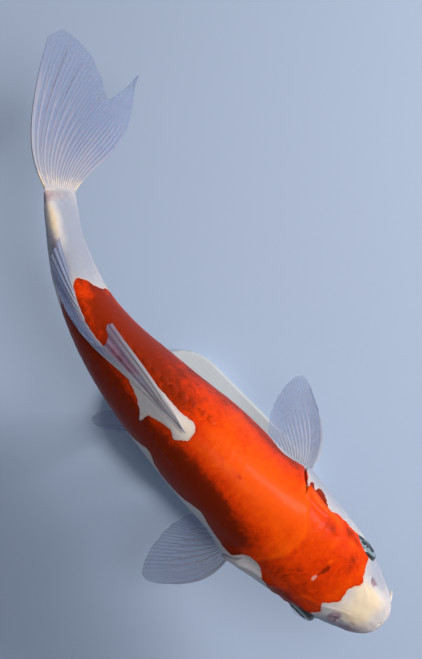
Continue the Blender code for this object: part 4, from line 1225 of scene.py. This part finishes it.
def ring_value(piece, centre, axis, inner, outer):
    """Stores each vertex's distance from an axis, 0 at outer and 1 at inner."""
    away = read_points(piece) - np.array(centre)
    axis = np.array(axis)
    distance = np.linalg.norm(away - (away @ axis)[:, None] * axis, axis=1) / MM
    keep_value(piece, "ring", (distance - outer) / (inner - outer))


# --- operators ---------------------------------------------------------------------------
class KOI_OT_skin(bpy.types.Operator):
    """Makes the one skin over head, gill covers, lips, trunk and tail stem"""
    bl_idname = "koi.skin"
    bl_label = "Skin"

    def execute(self, context):
        clear_selection()
        rings = len(skin_rings())
        bpy.ops.mesh.primitive_uv_sphere_add(segments=SKIN_COLUMNS, ring_count=rings + 1, radius=1)
        skin = context.object
        skin.name = "koi_skin"
        placed, share, angle, dark = lay_out_skin(context.scene.koi_sizes)
        ball = read_points(skin)
        tilt = np.arccos(np.clip(ball[:, 2], -1, 1))
        ring = np.rint(tilt / math.pi * (rings + 1)).astype(int) - 1
        column = np.rint(np.arctan2(ball[:, 1], ball[:, 0]) / (2 * math.pi) * SKIN_COLUMNS)
        column = column.astype(int) % SKIN_COLUMNS
        at = np.clip(ring, 0, rings - 1) * SKIN_COLUMNS + column
        points, s, a, d = placed[at], share[at], angle[at], dark[at]
        for pole, ends in ((ring < 0, slice(0, SKIN_COLUMNS)),
                           (ring >= rings, slice(-SKIN_COLUMNS, None))):
            points[pole] = placed[ends].mean(axis=0)
        s[ring < 0] = 0.0
        move_points(skin, points)
        paint_skin(skin, s, a, d)
        shade(skin)
        dress(skin, wet_skin(context.scene.koi_colours), "skin", "head", "upper_lip", "lower_lip",
              "gill_cover_left", "gill_cover_right", "trunk_front", "trunk_middle", "trunk_rear",
              "tail_stem")
        return {"FINISHED"}


class KOI_OT_scales(bpy.types.Operator):
    """Makes the single row of scales on each side of the dorsal fin"""
    bl_idname = "koi.scales"
    bl_label = "Scales"

    # share and angle of each scale's root on the left side
    roots = ((0.470, 58), (0.491, 58), (0.512, 59), (0.533, 61), (0.554, 62), (0.575, 63),
             (0.597, 63), (0.620, 62), (0.643, 62), (0.666, 61), (0.688, 60))
    grid = (14, 18)                 # faces across and along a scale
    thickness = 0.22 * MM

    def execute(self, context):
        length = context.scene.koi_sizes.scale
        columns, rows = self.grid
        made = []
        for side in (1, -1):
            for share, angle in self.roots:
                clear_selection()
                bpy.ops.mesh.primitive_grid_add(x_subdivisions=columns, y_subdivisions=rows,
                                                size=2)
                scale = context.object
                flat = read_points(scale)
                across, along = flat[:, 0], (flat[:, 1] + 1) / 2
                half = 0.42 * length * np.sqrt(np.clip(1 - ((along - 0.52) / 0.55) ** 2, 0.02, 1))
                s = share + along * length / STANDARD_LENGTH
                turn = across * half / (mean_radius(s) * MM)
                a = other_side(angle + np.degrees(turn), side)
                dome = 0.30 * (1 - across ** 2) * np.sin(math.pi * along)
                height = -0.35 + 0.75 * along ** 0.8 + dome - 0.25 * across ** 2
                move_points(scale, body_point(s, a, height * MM))
                keep_patch(scale, share, other_side(angle, side), flat[:, :2])
                # Painted shade darkens each scale's rear edge, where it stands off the skin.
                paint_skin(scale, s, a, 0.22 * eased(along, 0.8, 1.0))
                apply_modifier(scale, "SOLIDIFY", thickness=self.thickness, offset=0.0,
                               use_rim=True)
                face_outwards(scale)
                made.append(scale)
        clear_selection()
        for scale in made:
            scale.select_set(True)
        context.view_layer.objects.active = made[0]
        bpy.ops.object.join()
        coat = context.object
        coat.name = "dorsal_row_scales"
        shade(coat, 60)
        dress(coat, bpy.data.materials["wet_scaleless_skin"], "skin")
        return {"FINISHED"}


class KOI_OT_barbels(bpy.types.Operator):
    """Makes the four feelers at the mouth"""
    bl_idname = "koi.barbels"
    bl_label = "Barbels"

    # mm in the head's frame: start, bend, tip, radius at the root.
    feelers = {"front": ((6.0, 9.5, -8.5), (7.0, 14.5, -12.0), (9.5, 17.0, -17.0), 1.15),
               "rear": ((14.0, 10.0, -14.0), (16.5, 16.5, -20.0), (23.0, 18.0, -28.0), 1.55)}
    sides, rings = 20, 40
    tints = dict(red=-9, warm=0.5, deep=0, flush=0.15, fleck=0, dark=0)

    def execute(self, context):
        skin = bpy.data.materials["wet_scaleless_skin"]
        for place, (*knots, thick) in self.feelers.items():
            start, bend, tip = np.array(knots)

            def curve(q):
                """Place along the feeler, in the head's frame."""
                q = q[:, None]
                return (1 - q) ** 2 * start + 2 * q * (1 - q) * bend + q * q * tip

            for side_name, side in (("left", 1), ("right", -1)):
                clear_selection()
                bpy.ops.mesh.primitive_cylinder_add(vertices=self.sides, radius=1, depth=2,
                                                    end_fill_type="TRIFAN")
                piece = context.object
                piece.name = f"barbel_{place}_{side_name}_soft"
                bpy.ops.object.mode_set(mode="EDIT")
                bpy.ops.mesh.select_all(action="SELECT")
                for k in range(1, self.rings):
                    bpy.ops.mesh.bisect(plane_co=(0, 0, 2 * k / self.rings - 1),
                                        plane_no=(0, 0, 1))
                    bpy.ops.mesh.select_all(action="SELECT")
                bpy.ops.object.mode_set(mode="OBJECT")
                tube = read_points(piece)
                t = (tube[:, 2] + 1) / 2
                spots, ahead = curve(t), curve(t + 0.01) - curve(t - 0.01)
                centre = head_point(spots[:, 0], side * spots[:, 1], spots[:, 2])
                run = head_point(spots[:, 0] + ahead[:, 0], side * (spots[:, 1] + ahead[:, 1]),
                                 spots[:, 2] + ahead[:, 2]) - centre
                run /= np.linalg.norm(run, axis=1, keepdims=True)
                across = np.cross(run, (0, 0, 1.0))
                across /= np.linalg.norm(across, axis=1, keepdims=True)
                other = np.cross(run, across)
                swell = 1 + 0.05 * np.sin(t * 60) + 0.5 * (1 - eased(t, 0.0, 0.22))
                taper = (1 - 0.72 * t ** 1.3) * np.sqrt(1 - eased(t, 0.93, 1.04))
                radius = thick * MM * swell * taper
                move_points(piece, centre - (tube[:, 0] * radius)[:, None] * across
                            + (tube[:, 1] * radius)[:, None] * other)
                face_outwards(piece)
                for key, value in self.tints.items():
                    keep_value(piece, key, np.full(len(tube), float(value)))
                shade(piece, 80)
                dress(piece, skin, "skin", f"barbel_{place}_{side_name}")
        return {"FINISHED"}


class KOI_OT_eyes(bpy.types.Operator):
    """Makes each eye: soft rim, iris and pupil, clear cornea"""
    bl_idname = "koi.eyes"
    bl_label = "Eyes"

    # mm from the eye's axis and out of the head
    rim = ((10.2, 0.5), (10.2, 3.4), (9.9, 4.5), (9.5, 5.2), (8.9, 5.7), (8.2, 6.05), (7.5, 6.25),
           (7.0, 6.3), (6.6, 6.2), (6.4, 5.9), (6.3, 5.4), (6.2, 4.6), (5.0, 3.7), (0.0, 3.4))
    rim_inner, rim_outer = 6.4, 9.6
    segments = 64

    def execute(self, context):
        sizes, colours = context.scene.koi_sizes, context.scene.koi_colours
        rim_finish, inside, clear = eye_rim_tissue(colours), eye_inside(colours), clear_cornea()
        ball, iris, pupil = sizes.eye / MM, sizes.iris / MM, sizes.pupil / MM
        disc = ((iris + 0.6, 3.2), (iris + 0.6, 4.7), (iris + 0.4, 5.1), (iris, 5.3),
                (iris * 0.8, 5.5), (iris * 0.65, 5.6), (pupil, 5.65), (pupil * 0.97, 5.8),
                (pupil * 0.85, 6.25), (pupil * 0.6, 6.7), (pupil * 0.3, 6.95), (0.0, 7.0))
        dome = [(6.5, 4.2)] + [(ball * math.sin(q), ball * math.cos(q))
                               for q in np.radians(np.linspace(50, 0, 12))]
        for (_, centre, out), name in zip(eye_places(), ("left", "right")):
            made = turned(f"eye_rim_{name}", self.rim, self.segments, centre, out)
            ring_value(made, centre, out, self.rim_inner, self.rim_outer)
            dress(made, rim_finish, "eye", f"eye_{name}")
            made = turned(f"eye_iris_{name}", disc, self.segments, centre, out)
            ring_value(made, centre, out, iris, 0.0)
            dress(made, inside, "eye")
            made = turned(f"eye_cornea_{name}", dome, self.segments, centre, out)
            dress(made, clear, "eye")
        return {"FINISHED"}


class KOI_OT_fins(bpy.types.Operator):
    """Makes the paired fins and the anal fin"""
    bl_idname = "koi.fins"
    bl_label = "Paired and anal fins"

    def execute(self, context):
        sizes, colours = context.scene.koi_sizes, context.scene.koi_colours
        finish = fin_web("paired_fin_web", colours, 0.42, 0.35, 0.20, colours.vein, colours.rays)
        for name, fan in FANS.items():
            first = 1 / fan["rays"]
            piece = build_fin(f"{name}_web", fan_surface(fan), fan["rays"], 64, sizes,
                              FIN_BURIED / fan["length"], splits=(0.42,),
                              ridge=lambda v: 1 - eased(v, 0.5 * first, first),
                              vein=lambda v: np.exp(-((v - 0.12) / 0.08) ** 2))
            dress(piece, finish, "fin", name)
        return {"FINISHED"}


class KOI_OT_dorsal_fin(bpy.types.Operator):
    """Makes the folded dorsal fin"""
    bl_idname = "koi.dorsal_fin"
    bl_label = "Dorsal fin"

    def execute(self, context):
        colours = context.scene.koi_colours
        # Here the vein streak, in the folded web's colour, is painted shadow in the valley before
        # the crest.
        finish = fin_web("dorsal_fin_web", colours, 0.62, 0.85, 0.06, colours.fold,
                         colours.spines, fade=0.15)

        def ridge(v):
            """Strong first spines, then the crest where the fin folds over."""
            crest = 0.95 * np.exp(-((v - 0.185) / 0.035) ** 2)
            return np.maximum(1 - eased(v, 0.070, 0.088), crest)

        # The vein streak just behind the first spines paints the valley's shadow.
        piece = build_fin("dorsal_fin_web", dorsal_surface, 22, 56, context.scene.koi_sizes,
                          DORSAL_BURIED, splits=(0.7,), pleat=0.9, wave=0.2, ridge=ridge,
                          vein=lambda v: np.exp(-((v - 0.122) / 0.026) ** 2))
        dress(piece, finish, "fin", "dorsal_fin")
        return {"FINISHED"}


class KOI_OT_tail_fin(bpy.types.Operator):
    """Makes the tail fin, both lobes in one"""
    bl_idname = "koi.tail_fin"
    bl_label = "Tail fin"

    def execute(self, context):
        colours = context.scene.koi_colours
        # The tail's rays get a painted highlight in cream at their root.
        finish = fin_web("tail_fin_web", colours, 0.52, 1.0, 0.20, colours.vein,
                         colours.web_root, fade=0.8, root_highlight=0.9)

        def vein(v):
            """Two reddish streaks between the outer rays of the upper lobe."""
            outer = np.exp(-((v - 0.870) / 0.006) ** 2)
            return outer + 0.8 * np.exp(-((v - 0.765) / 0.005) ** 2)

        def ridge(v):
            """The strong first ray of each lobe."""
            return np.maximum(eased(v, 0.965, 0.98), 1 - eased(v, 0.02, 0.035))

        piece = build_fin("tail_fin_web", tail_surface, 19, 84, context.scene.koi_sizes,
                          TAIL_BURIED / FORK_RAY, splits=(0.34, 0.66), wave=0.9, vein=vein,
                          ridge=ridge)
        dress(piece, finish, "fin", "tail_fin_upper", "tail_fin_lower")
        return {"FINISHED"}


class KOI_OT_stand(bpy.types.Operator):
    """Gives the base plate and the two rods of the stand their finishes"""
    bl_idname = "koi.stand"
    bl_label = "Stand"

    def execute(self, context):
        colours = context.scene.koi_colours
        paint, steel = satin_paint(colours), drawn_steel(colours)
        for name, finish in (("stand_base", paint), ("stand_rod_front", steel),
                             ("stand_rod_rear", steel)):
            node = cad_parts[name]
            node.data.materials.clear()
            node.data.materials.append(finish)
        return {"FINISHED"}


class KOI_OT_stage(bpy.types.Operator):
    """Makes the floor, the soft lights and the camera"""
    bl_idname = "koi.stage"
    bl_label = "Stage"

    def execute(self, context):
        clear_selection()
        bpy.ops.mesh.primitive_plane_add(size=FLOOR_SIZE, location=(0, 0, 0))
        floor = context.object
        floor.name = "studio_floor"
        floor.data.materials.append(studio_floor(context.scene.koi_colours))
        turn = math.radians(VIEW_TURN)
        up = Vector((math.sin(turn), math.cos(turn), 0))
        right = Vector((math.cos(turn), -math.sin(turn), 0))
        middle = Vector((SNOUT[0] + VIEW_SHIFT[0], SNOUT[1] + VIEW_SHIFT[1], SPINE_HEIGHT))
        # name, to the right, up the view, height, size, power in watts, colour
        lights = (("key_softbox", 0.98, 0.24, 0.56, 0.42, 12.0, (1.0, 0.97, 0.93)),
                  ("top_softbox", 0.50, 0.0, 1.65, 0.7, 7.5, (0.98, 0.99, 1.0)),
                  ("fill_softbox", -1.3, -0.6, 0.9, 1.2, 0.5, (0.80, 0.88, 1.0)))
        for name, across, along, height, size, power, colour in lights:
            lamp = bpy.data.lights.new(name, "AREA")
            lamp.shape, lamp.size, lamp.energy, lamp.color = "DISK", size, power, colour
            holder = bpy.data.objects.new(name, lamp)
            context.scene.collection.objects.link(holder)
            holder.location = middle + right * across + up * along + Vector((0, 0, height))
            holder.rotation_euler = (middle - holder.location).to_track_quat("-Z", "Y").to_euler()
        world = bpy.data.worlds.new("studio_air")
        world.use_nodes = True
        air = world.node_tree.nodes["Background"]
        air.inputs["Color"].default_value = linear(AIR_COLOUR)
        air.inputs["Strength"].default_value = AIR_STRENGTH
        context.scene.world = world
        lens = bpy.data.cameras.new("camera_above")
        lens.sensor_width = LENS_WIDTH
        lens.lens = LENS_WIDTH * VIEW_HEIGHT / VIEW_TALL
        camera = bpy.data.objects.new("camera_above", lens)
        context.scene.collection.objects.link(camera)
        place = Matrix((right, up, Vector((0, 0, 1)))).transposed().to_4x4()
        place.translation = middle + Vector((0, 0, VIEW_HEIGHT))
        camera.matrix_world = place
        context.scene.camera = camera
        context.scene.view_settings.view_transform = "Standard"
        return {"FINISHED"}


STEPS = (KOI_OT_stage, KOI_OT_skin, KOI_OT_scales, KOI_OT_barbels, KOI_OT_eyes, KOI_OT_fins,
         KOI_OT_dorsal_fin, KOI_OT_tail_fin, KOI_OT_stand)


class KOI_PT_panel(bpy.types.Panel):
    """Lists the steps and settings of the koi"""
    bl_label = "Koi carp"
    bl_idname = "KOI_PT_panel"
    bl_space_type = "VIEW_3D"
    bl_region_type = "UI"
    bl_category = "Koi"

    def draw(self, context):
        for step in STEPS:
            self.layout.operator(step.bl_idname)
        for group in (context.scene.koi_sizes, context.scene.koi_colours):
            box = self.layout.box()
            for key in group.bl_rna.properties.keys():
                if key not in ("rna_type", "name"):
                    box.prop(group, key)


CLASSES = (KoiSizes, KoiColours) + STEPS + (KOI_PT_panel,)


def register():
    for kind in CLASSES:
        bpy.utils.register_class(kind)
    bpy.types.Scene.koi_sizes = bpy.props.PointerProperty(type=KoiSizes)
    bpy.types.Scene.koi_colours = bpy.props.PointerProperty(type=KoiColours)


def unregister():
    del bpy.types.Scene.koi_sizes
    del bpy.types.Scene.koi_colours
    for kind in reversed(CLASSES):
        bpy.utils.unregister_class(kind)


def main():
    register()
    for step in STEPS:
        getattr(bpy.ops.koi, step.bl_idname.split(".")[1])()


if __name__ == "__main__":
    main()
